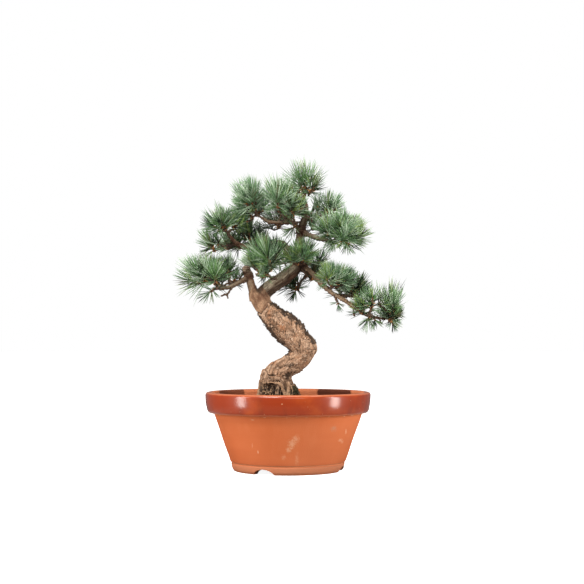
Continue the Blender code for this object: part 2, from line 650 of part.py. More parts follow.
def needle_lines(foot, axis, reach, rng):
    """Root, direction and length of each needle of a shoot, on a golden spiral."""
    core = abs(reach) * CORE_SHARE
    length = min(max(abs(reach) * NEEDLE_SHARE, NEEDLE_LIMITS[0]), NEEDLE_LIMITS[1])
    length = min(length, abs(reach))
    turn = axis.to_track_quat("Z", "Y")
    phase = rng.uniform(0.0, math.tau)
    for number in range(NEEDLES_A_SHOOT):
        share = (number + 0.5) / NEEDLES_A_SHOOT
        tilt = math.radians(LOWEST_TILT + (TOP_TILT - LOWEST_TILT) * share ** TILT_EASE)
        tilt += rng.uniform(-TILT_JITTER, TILT_JITTER)
        around = phase + number * GOLDEN_ANGLE
        out = Vector((math.sin(tilt) * math.cos(around), math.sin(tilt) * math.sin(around),
                      math.cos(tilt)))
        root = foot + axis * core * (NEEDLE_FEET[0] + (NEEDLE_FEET[1] - NEEDLE_FEET[0]) * share)
        yield root, turn @ out, length * rng.uniform(*LENGTH_RANGE)


def in_sky(points):
    inside = np.zeros(len(points), bool)
    for left, right, low, high in SKY:
        inside |= ((points[:, 0] > left) & (points[:, 0] < right)
                   & (points[:, 2] > low) & (points[:, 2] < high))
    outside = (points[:, 0] < CROWN_SIDES[0]) | (points[:, 0] > CROWN_SIDES[1])
    return inside.any() or outside.any()


def fits(root, tip, mass, centres, wood):
    """Whether a needle keeps to its own mass's space, clear of wood and open sky."""
    share = np.linspace(FIRST_CLEAR, 1.0, NEEDLE_SAMPLES)
    points = np.array(root) + share[:, None] * np.array(tip - root)
    thick = np.interp(share, (0.0, BELLY_SHARE, 1.0), (SHEATH_RADIUS, BELLY_RADIUS, 0.0))
    if in_sky(points):
        return False
    own = np.array([c for owner, c in centres if owner == mass])
    other = np.array([c for owner, c in centres if owner != mass])
    to_own = np.linalg.norm(points[:, None] - own[None], axis=2).min(axis=1)
    to_other = np.linalg.norm(points[:, None] - other[None], axis=2).min(axis=1)
    if (to_other - to_own - 2 * thick).min() < SPACE_MARGIN:
        return False
    return (wood.clearance(points, mass) - thick).min() > NEEDLE_CLEAR


def twig_plan_of(mass, start, ahead):
    feet = [Vector(shoot[:3]) for shoot in FOLIAGE[mass][2]]
    return twig_plan(start, ahead, feet)


def make_mass(mass, start, ahead, group, centres, wood, rng, look):
    helpers = collection("joining")
    base = None
    for a, b, foot_radius, top_radius in twig_plan_of(mass, start, ahead):
        over = (b - a).normalized() * TWIG_OVERLAP
        bar = cone("twig", a if base is None else a - over, b + over,
                   foot_radius, top_radius, CORE_SIDES, group if base is None else helpers)
        base = base or bar
    base.name = mass
    kept = 0
    for x, y, z, lean_x, lean_y, reach in FOLIAGE[mass][2]:
        foot = Vector((x, y, z))
        axis = shoot_axis(lean_x, lean_y, reach)
        cone("shoot", foot - axis, foot + axis * abs(reach) * CORE_SHARE,
             CORE_FOOT_RADIUS, CORE_TOP_RADIUS, CORE_SIDES, helpers)
        for root, out, length in needle_lines(foot, axis, reach, rng):
            for part in NEEDLE_TRIES:
                tip = root + out * length * part
                if fits(root, tip, mass, centres, wood):
                    spike("needle", root, tip, helpers)
                    kept += 1
                    break
    fuse(base, helpers)
    bpy.data.collections.remove(helpers)
    finish(base, look)
    return kept


def main():
    clear_scene()
    parts = collection("japanese_white_pine")
    cutters = collection("cutters")
    clay = material("clay", (0.64, 0.17, 0.06), 0.7)
    earth = material("earth", (0.09, 0.06, 0.04), 0.95)
    bark = material("bark", (0.33, 0.22, 0.15), 0.9)
    needles = material("needles", (0.10, 0.19, 0.08), 0.6)

    make_pot(parts, cutters, clay)
    make_soil(parts, earth)

    wood = Wood()
    rng = random.Random(11)
    joins = {name: collection(f"{name}_joins") for name in ("trunk", *LIMBS)}
    bodies = {"trunk": trunk_body(parts)}
    for row in catmull_rom(TRUNK_OUTLINE, TRUNK_RINGS_A_SPAN):
        middle = Vector(((row[0] + row[2]) / 2, -TRUNK_SWAY / 2, (row[1] + row[3]) / 2))
        wood.add("trunk", middle, middle, math.hypot(row[2] - row[0], row[3] - row[1]) / 2)

    tips = {}
    for name, (parent, collar, sides, stations) in LIMBS.items():
        collar_rows, limb_rows = split_path(stations, collar)
        tube(f"{name}_collar", collar_rows, sides, joins[parent])
        bodies[name] = tube(name, limb_rows, sides, parts)
        add_rows(wood, parent, collar_rows)
        add_rows(wood, name, limb_rows)
        end, before = Vector(limb_rows[-1][:3]), Vector(limb_rows[-2][:3])
        tips[name] = (end, (end - before).normalized())
    for limb, x, y, z, radius in BURLS:
        ball(f"{limb}_burl", (x, y, z), radius, joins[limb])
        wood.add(limb, (x, y, z), (x, y, z), radius)

    starts = {}
    for mass, (limb, spur, _) in FOLIAGE.items():
        if spur is None:
            end, ahead = tips[limb]
        else:
            root, end, ahead = spur_of(limb, *spur, radius_near(limb, spur[0]), wood)
            cone(f"{mass}_spur", root, end, SPUR_FOOT_RADIUS, SPUR_RADIUS, SPUR_SIDES,
                 joins[limb])
        starts[mass] = (end + ahead * GAP, ahead)
    for name, body in bodies.items():
        fuse(body, joins[name])
        bpy.data.collections.remove(joins[name])
        finish(body, bark)

    centres = []
    for mass, (_, _, shoots) in FOLIAGE.items():
        for a, b, foot_radius, _ in twig_plan_of(mass, *starts[mass]):
            wood.add(mass, a, b, foot_radius)
        for x, y, z, lean_x, lean_y, reach in shoots:
            axis = shoot_axis(lean_x, lean_y, reach)
            foot = Vector((x, y, z))
            tip = foot + axis * abs(reach) * CORE_SHARE
            wood.add(mass, foot, tip, CORE_FOOT_RADIUS)
            centres.append((mass, np.array(foot.lerp(tip, CORE_MIDDLE))))
    for mass in FOLIAGE:
        kept = make_mass(mass, *starts[mass], parts, centres, wood, rng, needles)
        wanted = NEEDLES_A_SHOOT * len(FOLIAGE[mass][2])
        print(f"{mass}: {kept} of {wanted} needles, {len(bpy.data.objects[mass].data.polygons)} faces")


main()
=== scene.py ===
# %% [markdown]
# # A japanese white pine bonsai in its clay training pot
#
# The real tree is small and old: a trunk with flaky bark bends twice over a round clay pot,
# and carries tufts of blue-green needles, five to a sheath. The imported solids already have
# every part in its true place and size. This lesson dresses them: it fuses one skin of bark
# over trunk and boughs, turns the pot on a wheel, fills it with grit, and grows the twigs
# and needles by the rule that the solids follow, only finer.

# %% Load the fixed frame
import math
import random

import bmesh
import bpy
import numpy as np
from mathutils import Matrix, Vector
from mathutils.bvhtree import BVHTree
from mathutils.geometry import delaunay_2d_cdt


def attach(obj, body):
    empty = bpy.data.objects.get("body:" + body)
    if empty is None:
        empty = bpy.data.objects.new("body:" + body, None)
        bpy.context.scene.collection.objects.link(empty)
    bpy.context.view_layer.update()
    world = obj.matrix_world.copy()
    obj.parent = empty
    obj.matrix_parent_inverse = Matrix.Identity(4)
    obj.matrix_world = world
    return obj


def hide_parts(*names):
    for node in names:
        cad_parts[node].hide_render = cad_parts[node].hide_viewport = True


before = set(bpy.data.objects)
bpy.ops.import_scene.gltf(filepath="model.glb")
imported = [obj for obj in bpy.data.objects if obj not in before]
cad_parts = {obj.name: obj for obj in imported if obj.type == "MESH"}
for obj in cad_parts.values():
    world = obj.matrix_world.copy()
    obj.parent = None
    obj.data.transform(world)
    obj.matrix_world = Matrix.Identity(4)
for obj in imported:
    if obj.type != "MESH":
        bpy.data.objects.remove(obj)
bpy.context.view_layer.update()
MM = 0.001
GOLDEN_ANGLE = math.pi * (3 - math.sqrt(5))

# %% [markdown]
# ## Camera
#
# The photo was taken from a little below the middle of the tree, with the lens just under
# two metres away, so the rim of the pot is almost edge-on. A longer lens further away would
# flatten the rim to a line, and a wide one would open it up.

# %% Place the camera
view_data = bpy.data.cameras.new("photo_view")
view_data.lens = 78.3
view_data.sensor_width = 36.0
camera = bpy.data.objects.new("photo_view", view_data)
camera.location = (0.0058, -1.85, 0.1935)
camera.rotation_euler = (math.radians(90.0 + 2.007), 0.0, 0.0)
bpy.context.scene.collection.objects.link(camera)
bpy.context.scene.camera = camera
bpy.context.scene.view_settings.view_transform = "Standard"
print("camera at", [round(v, 3) for v in camera.location])

# %% [markdown]
# ## Floor and light
#
# A studio lights such a tree softly, so that bark and needles show without hard shadows. Two
# tall soft boxes stand to the left and the right of the camera. They give the upright
# streaks on the glazed rim. A broad light overhead and a pale room fill in the rest.

# %% Lay the floor and hang the lights
FLOOR_RADIUS, LAMP_TINT, ROOM_STRENGTH = 14.0, (1.0, 0.965, 0.92), 0.27
# Each box: its place, its width and height, its power and the height that it looks at
SOFT_BOXES = {
    "left_soft_box": ((-1.8, -0.8, 0.35), (0.36, 1.9), 43.0, 0.35),
    "right_soft_box": ((1.8, -0.8, 0.35), (0.40, 1.9), 50.0, 0.35),
    "key_soft_box": ((-0.75, -1.35, 1.9), (0.8, 0.8), 51.0, 0.22),
    "top_soft_box": ((0.2, 0.1, 2.2), (1.4, 1.4), 35.0, 0.22),
    "front_soft_box": ((0.5, -2.9, 1.2), (1.4, 1.0), 18.0, 0.22),
}
floor_bm = bmesh.new()
bmesh.ops.create_circle(floor_bm, cap_ends=True, segments=96, radius=FLOOR_RADIUS)
floor_mesh = bpy.data.meshes.new("studio_floor")
floor_bm.to_mesh(floor_mesh)
floor_bm.free()
floor = bpy.data.objects.new("studio_floor", floor_mesh)
bpy.context.scene.collection.objects.link(floor)

for name, (place, size, power, aim_height) in SOFT_BOXES.items():
    light = bpy.data.lights.new(name, "AREA")
    light.shape = "RECTANGLE"
    light.size, light.size_y = size
    light.energy = power
    light.color = LAMP_TINT
    lamp = bpy.data.objects.new(name, light)
    lamp.location = place
    aim = Vector((0.0, 0.0, aim_height)) - Vector(place)
    lamp.rotation_euler = aim.to_track_quat("-Z", "Y").to_euler()
    bpy.context.scene.collection.objects.link(lamp)

room = bpy.data.worlds.new("pale_room")
room.use_nodes = True
bpy.context.scene.world = room
seen = room.node_tree.nodes["Background"]
seen.inputs["Color"].default_value = (1.0, 1.0, 1.0, 1.0)
seen.inputs["Strength"].default_value = 1.0
cast = room.node_tree.nodes.new("ShaderNodeBackground")
cast.inputs["Strength"].default_value = ROOM_STRENGTH
ray = room.node_tree.nodes.new("ShaderNodeLightPath")
either = room.node_tree.nodes.new("ShaderNodeMixShader")
room.node_tree.links.new(ray.outputs["Is Camera Ray"], either.inputs[0])
room.node_tree.links.new(cast.outputs[0], either.inputs[1])
room.node_tree.links.new(seen.outputs[0], either.inputs[2])
room.node_tree.links.new(either.outputs[0], room.node_tree.nodes["World Output"].inputs[0])

# %% [markdown]
# ## Helpers for materials
#
# Clay, glaze and bark all vary in soft blotches, in bands of height and in single spots. Each
# of these is a node group with named sockets, built once and placed in every material that
# needs it. A group gives only a mask, and the shader stays in the material.

# %% Small helpers that add nodes


def node(tree, kind, inputs=None, **settings):
    """Adds a node; an input is a value, or a socket to link from."""
    made = tree.nodes.new(kind)
    for key, value in settings.items():
        setattr(made, key, value)
    for key, value in (inputs or {}).items():
        if isinstance(value, bpy.types.NodeSocket):
            tree.links.new(value, made.inputs[key])
        else:
            made.inputs[key].default_value = value
    return made


def reckon(tree, operation, a, b=0.0, clamp=False):
    """One step of arithmetic on values or sockets."""
    return node(tree, "ShaderNodeMath", {0: a, 1: b}, operation=operation,
                use_clamp=clamp).outputs[0]


def blend(tree, share, a, b):
    """From colour a to colour b as share goes from 0 to 1."""
    a, b = ((*c, 1.0) if isinstance(c, tuple) else c for c in (a, b))
    return node(tree, "ShaderNodeMix", {0: share, 6: a, 7: b}, data_type="RGBA").outputs[2]


def object_place(tree):
    return node(tree, "ShaderNodeTexCoord").outputs["Object"]


def in_range(tree, value, low, high, to_low=0.0):
    """A value that goes from to_low to 1 as another goes from low to high."""
    return node(tree, "ShaderNodeMapRange", {"Value": value, "From Min": low, "From Max": high,
                                             "To Min": to_low, "To Max": 1.0}).outputs[0]


def new_group(name, inputs, output="Mask"):
    """A node group with named sockets; returns its tree, its inputs and its output node."""
    tree = bpy.data.node_groups.new(name, "ShaderNodeTree")
    for label, kind, value in inputs:
        socket = tree.interface.new_socket(label, in_out="INPUT", socket_type=kind)
        socket.default_value = value
    tree.interface.new_socket(output, in_out="OUTPUT", socket_type="NodeSocketFloat")
    return tree, tree.nodes.new("NodeGroupInput").outputs, tree.nodes.new("NodeGroupOutput")


def use(tree, group, **inputs):
    """Places a group in a material; Low_Edge stands for a socket named Low Edge."""
    made = node(tree, "ShaderNodeGroup", node_tree=group)
    for key, value in inputs.items():
        socket = made.inputs[key.replace("_", " ")]
        if isinstance(value, bpy.types.NodeSocket):
            tree.links.new(value, socket)
        else:
            socket.default_value = value
    return made.outputs[0]


# %% Build the three shared effects

FLOAT, VECTOR = "NodeSocketFloat", "NodeSocketVector"

mottle, given, out = new_group("mottle", (
    ("Scale", FLOAT, 20.0), ("Detail", FLOAT, 4.0), ("Stretch", VECTOR, (1.0, 1.0, 1.0)),
    ("Low", FLOAT, 0.4), ("High", FLOAT, 0.6)))
place = object_place(mottle)
stretched = node(mottle, "ShaderNodeVectorMath", {0: place, 1: given["Stretch"]},
                 operation="MULTIPLY").outputs[0]
cloud = node(mottle, "ShaderNodeTexNoise", {
    "Vector": stretched, "Scale": given["Scale"], "Detail": given["Detail"]}).outputs[0]
ranged = node(mottle, "ShaderNodeMapRange", {
    "Value": cloud, "From Min": given["Low"], "From Max": given["High"]},
    interpolation_type="SMOOTHSTEP").outputs[0]
mottle.links.new(ranged, out.inputs["Mask"])

height_band, given, out = new_group("height band", (
    ("Low Edge", FLOAT, 0.0), ("High Edge", FLOAT, 1.0), ("Softness", FLOAT, 0.001),
    ("Waver", FLOAT, 0.0), ("Waver Scale", FLOAT, 30.0)))
place = object_place(height_band)
wander = node(height_band, "ShaderNodeTexNoise", {
    "Vector": place, "Scale": given["Waver Scale"], "Detail": 3.0}).outputs[0]
wander = reckon(height_band, "MULTIPLY", reckon(height_band, "SUBTRACT", wander, 0.5),
                given["Waver"])
level = node(height_band, "ShaderNodeSeparateXYZ", {0: place}).outputs["Z"]
level = reckon(height_band, "ADD", level, wander)
over = reckon(height_band, "DIVIDE", reckon(height_band, "SUBTRACT", level,
                                            given["Low Edge"]), given["Softness"], True)
under = reckon(height_band, "DIVIDE", reckon(height_band, "SUBTRACT", given["High Edge"],
                                             level), given["Softness"], True)
height_band.links.new(reckon(height_band, "MULTIPLY", over, under), out.inputs["Mask"])

patch, given, out = new_group("ragged patch", (
    ("Centre", VECTOR, (0.0, 0.0, 0.0)), ("Size", VECTOR, (0.01, 0.01, 0.01)),
    ("Ragged", FLOAT, 0.6), ("Grain", FLOAT, 160.0), ("Softness", FLOAT, 0.5)))
place = object_place(patch)
away = node(patch, "ShaderNodeVectorMath", {0: place, 1: given["Centre"]},
            operation="SUBTRACT").outputs[0]
away = node(patch, "ShaderNodeVectorMath", {0: away, 1: given["Size"]},
            operation="DIVIDE").outputs[0]
away = node(patch, "ShaderNodeVectorMath", {0: away}, operation="LENGTH").outputs["Value"]
rough_edge = node(patch, "ShaderNodeTexNoise", {
    "Vector": place, "Scale": given["Grain"], "Detail": 5.0, "Roughness": 0.7}).outputs[0]
rough_edge = reckon(patch, "MULTIPLY", reckon(patch, "SUBTRACT", rough_edge, 0.5),
                    reckon(patch, "MULTIPLY", given["Ragged"], 4.0))
inside = reckon(patch, "SUBTRACT", 1.0, reckon(patch, "ADD", away, rough_edge))
patch.links.new(reckon(patch, "DIVIDE", inside, given["Softness"], True), out.inputs["Mask"])
print("shared effects:", [g.name for g in bpy.data.node_groups])


def band_at(tree, low, high, softness, waver=0.0, waver_scale=30.0):
    return use(tree, height_band, Low_Edge=low, High_Edge=high, Softness=softness, Waver=waver,
               Waver_Scale=waver_scale)


def layered(tree, colour, *layers):
    """Lays colours over a colour: each layer is a mask, or its name, a strength and a tint."""
    for mask, strength, tint in layers:
        if isinstance(mask, str):
            mask = node(tree, "ShaderNodeAttribute", attribute_name=mask).outputs["Fac"]
        colour = blend(tree, reckon(tree, "MULTIPLY", mask, strength), colour, tint)
    return colour


def spotted(tree, colour, *spots):
    """Lays mottles over a colour: scale, detail, stretch, low, high, strength and tint."""
    for scale, detail, stretch, low, high, strength, tint in spots:
        cloudy = use(tree, mottle, Scale=scale, Detail=detail, Stretch=(1.0, 1.0, stretch),
                     Low=low, High=high)
        colour = layered(tree, colour, (cloudy, strength, tint))
    return colour


def new_material(name, roughness=0.8, colour=(0.5, 0.5, 0.5), spots=()):
    """A material with its tree and shader; spots are a colour and the mottles over it."""
    made = bpy.data.materials.new(name)
    made.use_nodes = True
    shader = made.node_tree.nodes["Principled BSDF"]
    shader.inputs["Base Color"].default_value = (*colour, 1.0)
    shader.inputs["Roughness"].default_value = roughness
    if spots:
        made.node_tree.links.new(spotted(made.node_tree, *spots), shader.inputs["Base Color"])
    return made, made.node_tree, shader


def roughened(tree, shader, noise, bump, share=1.0):
    """Fine bumps, from the settings of a noise and of a bump; share is how much of them."""
    height = node(tree, "ShaderNodeTexNoise", {"Vector": object_place(tree), **noise})
    height = reckon(tree, "MULTIPLY", height.outputs[0], share)
    bumps = node(tree, "ShaderNodeBump", {"Height": height, **bump}).outputs[0]
    tree.links.new(bumps, shader.inputs["Normal"])
    return bumps


TABLE_RADIUS, TABLE_TINT = 0.42, (0.30, 0.29, 0.28, 1.0)
floor_look, tree, shader = new_material("pale_floor", 0.9, (0.84, 0.84, 0.84))
shader.inputs["Specular IOR Level"].default_value = 0.0
spot = node(tree, "ShaderNodeVectorMath", {0: object_place(tree)}, operation="LENGTH")
spot = spot.outputs["Value"]
tree.links.new(blend(tree, in_range(tree, spot, 0.12, 0.6), (0.92, 0.92, 0.92), (1.0, 1.0, 1.0)),
               shader.inputs["Emission Color"])
shader.inputs["Emission Strength"].default_value = 1.0
# The camera sees white paper; the glaze and the clay are lit as if by a small dim table,
# past whose edge the soft boxes reach lower than the pot
table = node(tree, "ShaderNodeBsdfDiffuse", {"Color": TABLE_TINT}).outputs[0]
open_air = node(tree, "ShaderNodeBsdfTransparent").outputs[0]
table = node(tree, "ShaderNodeMixShader", {0: reckon(tree, "GREATER_THAN", spot, TABLE_RADIUS),
                                           1: table, 2: open_air}).outputs[0]
ray = node(tree, "ShaderNodeLightPath").outputs["Is Camera Ray"]
either = node(tree, "ShaderNodeMixShader", {0: ray, 1: table, 2: shader.outputs[0]})
tree.links.new(either.outputs[0], tree.nodes["Material Output"].inputs["Surface"])
floor.data.materials.append(floor_look)

# %% [markdown]
# ## Helpers for meshes
#
# A finished piece is one object at the origin, with its place in its mesh. It rides on the
# part's only body, hides the solids that it stands for, and takes its material. One helper
# does this for every piece and says how many triangles it has.

# %% Finish a piece, and join many small shapes into one mesh


def finished(name, mesh, look, nodes, sharp=None):
    """Makes the piece from its mesh and ties it to the frame."""
    piece = bpy.data.objects.new(name, mesh)
    bpy.context.scene.collection.objects.link(piece)
    mesh.materials.clear()
    mesh.materials.append(look)
    mesh.shade_smooth()
    if sharp is not None:
        mesh.set_sharp_from_angle(angle=math.radians(sharp))
    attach(piece, "root")
    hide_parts(*nodes)
    mesh.calc_loop_triangles()
    print(f"{name}: {len(mesh.loop_triangles)} triangles")
    return piece


def from_bmesh(name, bm):
    mesh = bpy.data.meshes.new(name)
    bm.to_mesh(mesh)
    bm.free()
    return mesh


def evaluated(name, mesh, *modifiers):
    """A mesh with modifiers applied, each given as its type and settings."""
    holder = bpy.data.objects.new(name, mesh)
    bpy.context.scene.collection.objects.link(holder)
    for kind, settings in modifiers:
        modifier = holder.modifiers.new(kind.title(), kind)
        for key, value in settings.items():
            setattr(modifier, key, value)
    graph = bpy.context.evaluated_depsgraph_get()
    made = bpy.data.meshes.new_from_object(holder.evaluated_get(graph))
    bpy.data.objects.remove(holder)
    return made


def joined_mesh(name, points, corners):
    """A mesh from an array of points in mm and one of triangles' corners."""
    mesh = bpy.data.meshes.new(name)
    corners = np.ascontiguousarray(corners, np.int32)
    mesh.vertices.add(len(points))
    mesh.vertices.foreach_set("co", (points * MM).astype(np.float32).ravel())
    mesh.loops.add(corners.size)
    mesh.loops.foreach_set("vertex_index", corners.ravel())
    mesh.polygons.add(len(corners))
    mesh.polygons.foreach_set("loop_start", np.arange(0, corners.size, 3, dtype=np.int32))
    mesh.update(calc_edges=True)
    return mesh


def stamped(name, shape, frames, places):
    """Copies of a small shape, each turned and scaled by its 3 by 3 frame, as one mesh."""
    points, corners = shape
    moved = np.einsum("nij,vj->nvi", frames, points) + places[:, None]
    offsets = np.arange(len(places))[:, None, None] * len(points)
    return joined_mesh(name, moved.reshape(-1, 3), (corners[None] + offsets).reshape(-1, 3))


def shape_of(bm):
    """The points and triangles of a bmesh, as arrays for stamping."""
    bmesh.ops.triangulate(bm, faces=bm.faces)
    bm.verts.index_update()
    points = np.array([tuple(v.co) for v in bm.verts])
    corners = np.array([[v.index for v in f.verts] for f in bm.faces])
    bm.free()
    return points, corners


def unit(vectors):
    vectors = np.asarray(vectors, float)
    return vectors / np.maximum(np.linalg.norm(vectors, axis=-1, keepdims=True), 1e-9)


def frames_along(ahead):
    """For each direction, a 3 by 3 frame whose third column is that direction."""
    ahead = unit(ahead)
    side = np.where(np.abs(ahead[..., 1:2]) > 0.9, (1.0, 0.0, 0.0), (0.0, 1.0, 0.0))
    first = unit(np.cross(side, ahead))
    return np.stack((first, np.cross(ahead, first), ahead), axis=-1)


def curve_through(rows, steps):
    """The smooth curve through rows of numbers, with that many steps from row to row."""
    rows = np.array(rows, float)
    rows = np.vstack((2 * rows[0] - rows[1], rows, 2 * rows[-1] - rows[-2]))
    t = np.arange(steps)[:, None] / steps
    spans = [0.5 * (2 * b + (c - a) * t + (2 * a - 5 * b + 4 * c - d) * t ** 2
                    + (3 * b - 3 * c + d - a) * t ** 3)
             for a, b, c, d in zip(rows, rows[1:], rows[2:], rows[3:])]
    return np.vstack((*spans, rows[-2]))


# %% [markdown]
# ## The pot
#
# The pot is thrown clay, 24 cm across. Its rim is a thick band dipped in a red-brown glaze,
# the wall below is bare, and the foot has a groove and three arched notches that let water
# out. A lathe shape asks for a spun profile. The ring edges are then bevelled, because clay
# has no sharp corner, and the notches are cut last, so that they stay crisp.

# %% Spin the pot's profile
RIM_RADIUS, POT_HEIGHT, POT_FLOOR = 120.0, 113.5, 16.0
BAND_FOOT, GROOVE_HEIGHT, FOOT_RADIUS, FOOT_RECESS = 84.0, 12.4, 78.0, 8.0
WALL_TOP, WALL_FOOT, DRAIN_RADIUS = (107.7, 83.0), (83.5, 13.8), 17.0
WALL_ROWS, POT_STEPS, CORNER_BEVEL, CORNER_ANGLE = 20, 144, 0.9, 20

pot_profile = [(115.5, POT_HEIGHT), (118.8, 112.3), (RIM_RADIUS, 109.5), (119.4, 98.0),
               (117.2, 87.0), (114.8, BAND_FOOT)]
pot_profile += [tuple(row) for row in np.linspace(WALL_TOP, WALL_FOOT, WALL_ROWS)]
pot_profile += [(81.3, GROOVE_HEIGHT), (82.3, 10.8), (80.6, 3.6), (FOOT_RADIUS, 0.0),
                (67.0, 0.0), (65.5, FOOT_RECESS), (DRAIN_RADIUS, FOOT_RECESS),
                (DRAIN_RADIUS, POT_FLOOR), (74.1, POT_FLOOR), (98.1, BAND_FOOT), (107.5, 96.0),
                (107.5, 109.5), (110.0, 112.9)]


def turned(profile, steps, closed):
    """A profile of radius and height in mm, spun a full turn."""
    bm = bmesh.new()
    verts = [bm.verts.new((r * MM, 0.0, z * MM)) for r, z in profile]
    ends = verts[1:] + verts[:1] if closed else verts[1:]
    edges = [bm.edges.new(pair) for pair in zip(verts, ends)]
    bmesh.ops.spin(bm, geom=[*verts, *edges], cent=(0, 0, 0), axis=(0, 0, 1),
                   angle=math.tau, steps=steps, use_merge=True)
    bmesh.ops.remove_doubles(bm, verts=bm.verts, dist=1e-6)
    bmesh.ops.recalc_face_normals(bm, faces=bm.faces)
    return bm


pot_bm = turned(pot_profile, POT_STEPS, True)
soft_rings = []
for edge in pot_bm.edges:
    a, b = edge.verts
    level = abs(a.co.z - b.co.z) < 1e-7 and abs(a.co.xy.length - b.co.xy.length) < 1e-7
    if level and edge.calc_face_angle(0.0) > math.radians(CORNER_ANGLE):
        soft_rings.append(edge)
bmesh.ops.bevel(pot_bm, geom=soft_rings, offset=CORNER_BEVEL * MM, affect="EDGES", segments=2,
                profile=0.5, material=-1, clamp_overlap=True)
print("pot:", len(pot_bm.faces), "faces,", len(soft_rings), "ring edges softened")

# %% [markdown]
# No wheel leaves a wall dead smooth. Low waves from the potter's fingers run round the wall,
# and the band is a touch uneven. The radius of each point moves by a fraction of a
# millimetre, which shows in the way light runs down the wall.

# %% Leave the potter's touch on the wall
wall = np.array([tuple(v.co) for v in pot_bm.verts]) / MM
around = np.arctan2(wall[:, 1], wall[:, 0])
touch = 0.05 * np.sin(wall[:, 2] * 0.7 + 0.9 * np.sin(around * 2)) \
    + 0.22 * np.sin(around * 3 + wall[:, 2] * 0.11) + 0.10 * np.sin(around * 7 + 1.3)
on_wall = np.clip((wall[:, 2] - 15) / 6, 0, 1) * np.clip((111 - wall[:, 2]) / 5, 0, 1)
outside = np.hypot(wall[:, 0], wall[:, 1]) > 80
shift = 1 + touch * on_wall * outside / np.maximum(np.hypot(wall[:, 0], wall[:, 1]), 1)
for vert, factor in zip(pot_bm.verts, shift):
    vert.co.x *= factor
    vert.co.y *= factor
pot_mesh = from_bmesh("pot_body", pot_bm)

# %% Cut the three notches in the foot
NOTCH_WIDTH, NOTCH_HEIGHT, NOTCH_TURNS = 32.0, 8.0, (-25.8, 77.0, 207.0)
notch_bm = bmesh.new()
for degrees in NOTCH_TURNS:
    turn = math.radians(degrees)
    outward = Vector((math.sin(turn), -math.cos(turn), 0.0))
    squash = Matrix.Diagonal((1.0, 2.0 * (NOTCH_HEIGHT + 1.0) / NOTCH_WIDTH, 1.0, 1.0))
    stand = outward.to_track_quat("Z", "Y").to_matrix().to_4x4()
    spot = Matrix.Translation((outward * FOOT_RADIUS - Vector((0, 0, 1))) * MM)
    bmesh.ops.create_cone(notch_bm, cap_ends=True, segments=48, depth=30 * MM,
                          radius1=NOTCH_WIDTH / 2 * MM, radius2=NOTCH_WIDTH / 2 * MM,
                          matrix=spot @ stand @ squash)
notch_tool = bpy.data.objects.new("notch_tool", from_bmesh("notch_tool", notch_bm))
bpy.context.scene.collection.objects.link(notch_tool)
pot_mesh = evaluated("pot_body", pot_mesh, (
    "BOOLEAN", {"operation": "DIFFERENCE", "solver": "EXACT", "object": notch_tool}))
bpy.data.objects.remove(notch_tool)
print("pot with notches:", len(pot_mesh.polygons), "faces")

# %% [markdown]
# ## Clay and glaze
#
# One material holds both, because on the real pot the glaze is a thin coat over the same
# clay. A mask by height and radius says where the glaze lies: round the band and over the
# lip. It is thin and pale on the lip and along the band's lower corner. Inside, the clay is
# bare, with two dark patches painted in as reflections. The bare wall is blotchy orange with
# lime scuffs, each a ragged patch at the place where the real pot has it.

# %% Paint the clay
pot_look, tree, shader = new_material("glazed_clay")
CLAY, PALE_CLAY, DEEP_CLAY = (0.50, 0.121, 0.038), (0.58, 0.173, 0.070), (0.41, 0.085, 0.026)
INNER_CLAY, PAINTED_DARK_REFLECTION = (0.54, 0.180, 0.084), (0.095, 0.025, 0.012)
LIME, GREY_RUB = (0.66, 0.39, 0.23), (0.42, 0.215, 0.13)
# Each scuff: its centre, its size, its colour and its strength
SCUFFS = (
    ((0.0110, -0.098, 0.0530), (0.0062, 0.02, 0.0060), LIME, 0.45),
    ((0.0055, -0.096, 0.0455), (0.0068, 0.02, 0.0078), LIME, 0.60),
    ((0.0010, -0.093, 0.0370), (0.0042, 0.02, 0.0052), LIME, 0.55),
    ((-0.0058, -0.090, 0.0265), (0.0038, 0.02, 0.0045), LIME, 0.30),
    ((0.0126, -0.089, 0.0230), (0.0032, 0.02, 0.0120), LIME, 0.25),
    ((-0.0485, -0.092, 0.0787), (0.0032, 0.012, 0.0016), LIME, 0.5),
    ((0.0732, -0.060, 0.0482), (0.0046, 0.012, 0.0026), LIME, 0.55),
    ((0.0762, -0.058, 0.0455), (0.0024, 0.012, 0.0032), LIME, 0.5),
    ((0.0817, -0.058, 0.0594), (0.0016, 0.012, 0.0050), LIME, 0.75),
    ((0.0630, -0.075, 0.0661), (0.0060, 0.012, 0.0050), GREY_RUB, 0.8),
    ((-0.0494, -0.078, 0.0414), (0.0008, 0.012, 0.0050), LIME, 0.4),
    ((-0.0414, -0.080, 0.0332), (0.0010, 0.012, 0.0032), LIME, 0.9),
    ((0.060, 0.075, 0.050), (0.012, 0.02, 0.014), LIME, 0.3),
    ((-0.085, 0.045, 0.040), (0.010, 0.02, 0.016), GREY_RUB, 0.5),
)
# Painted reflection: two dark patches inside the back of the rim
PAINTED_REFLECTION_PATCHES = (((-0.087, 0.070, 0.108), (0.0230, 0.05, 0.014), PAINTED_DARK_REFLECTION, 0.85),
                ((0.0725, 0.086, 0.108), (0.0310, 0.05, 0.014), PAINTED_DARK_REFLECTION, 1.0))


def patched(tree, colour, rows, ragged, grain, softness):
    """Lays ragged patches over a colour: centre, size, tint and strength of each."""
    for centre, size, tint, strength in rows:
        rubbed = use(tree, patch, Centre=centre, Size=size, Ragged=ragged, Grain=grain,
                     Softness=softness)
        colour = layered(tree, colour, (rubbed, strength, tint))
    return colour


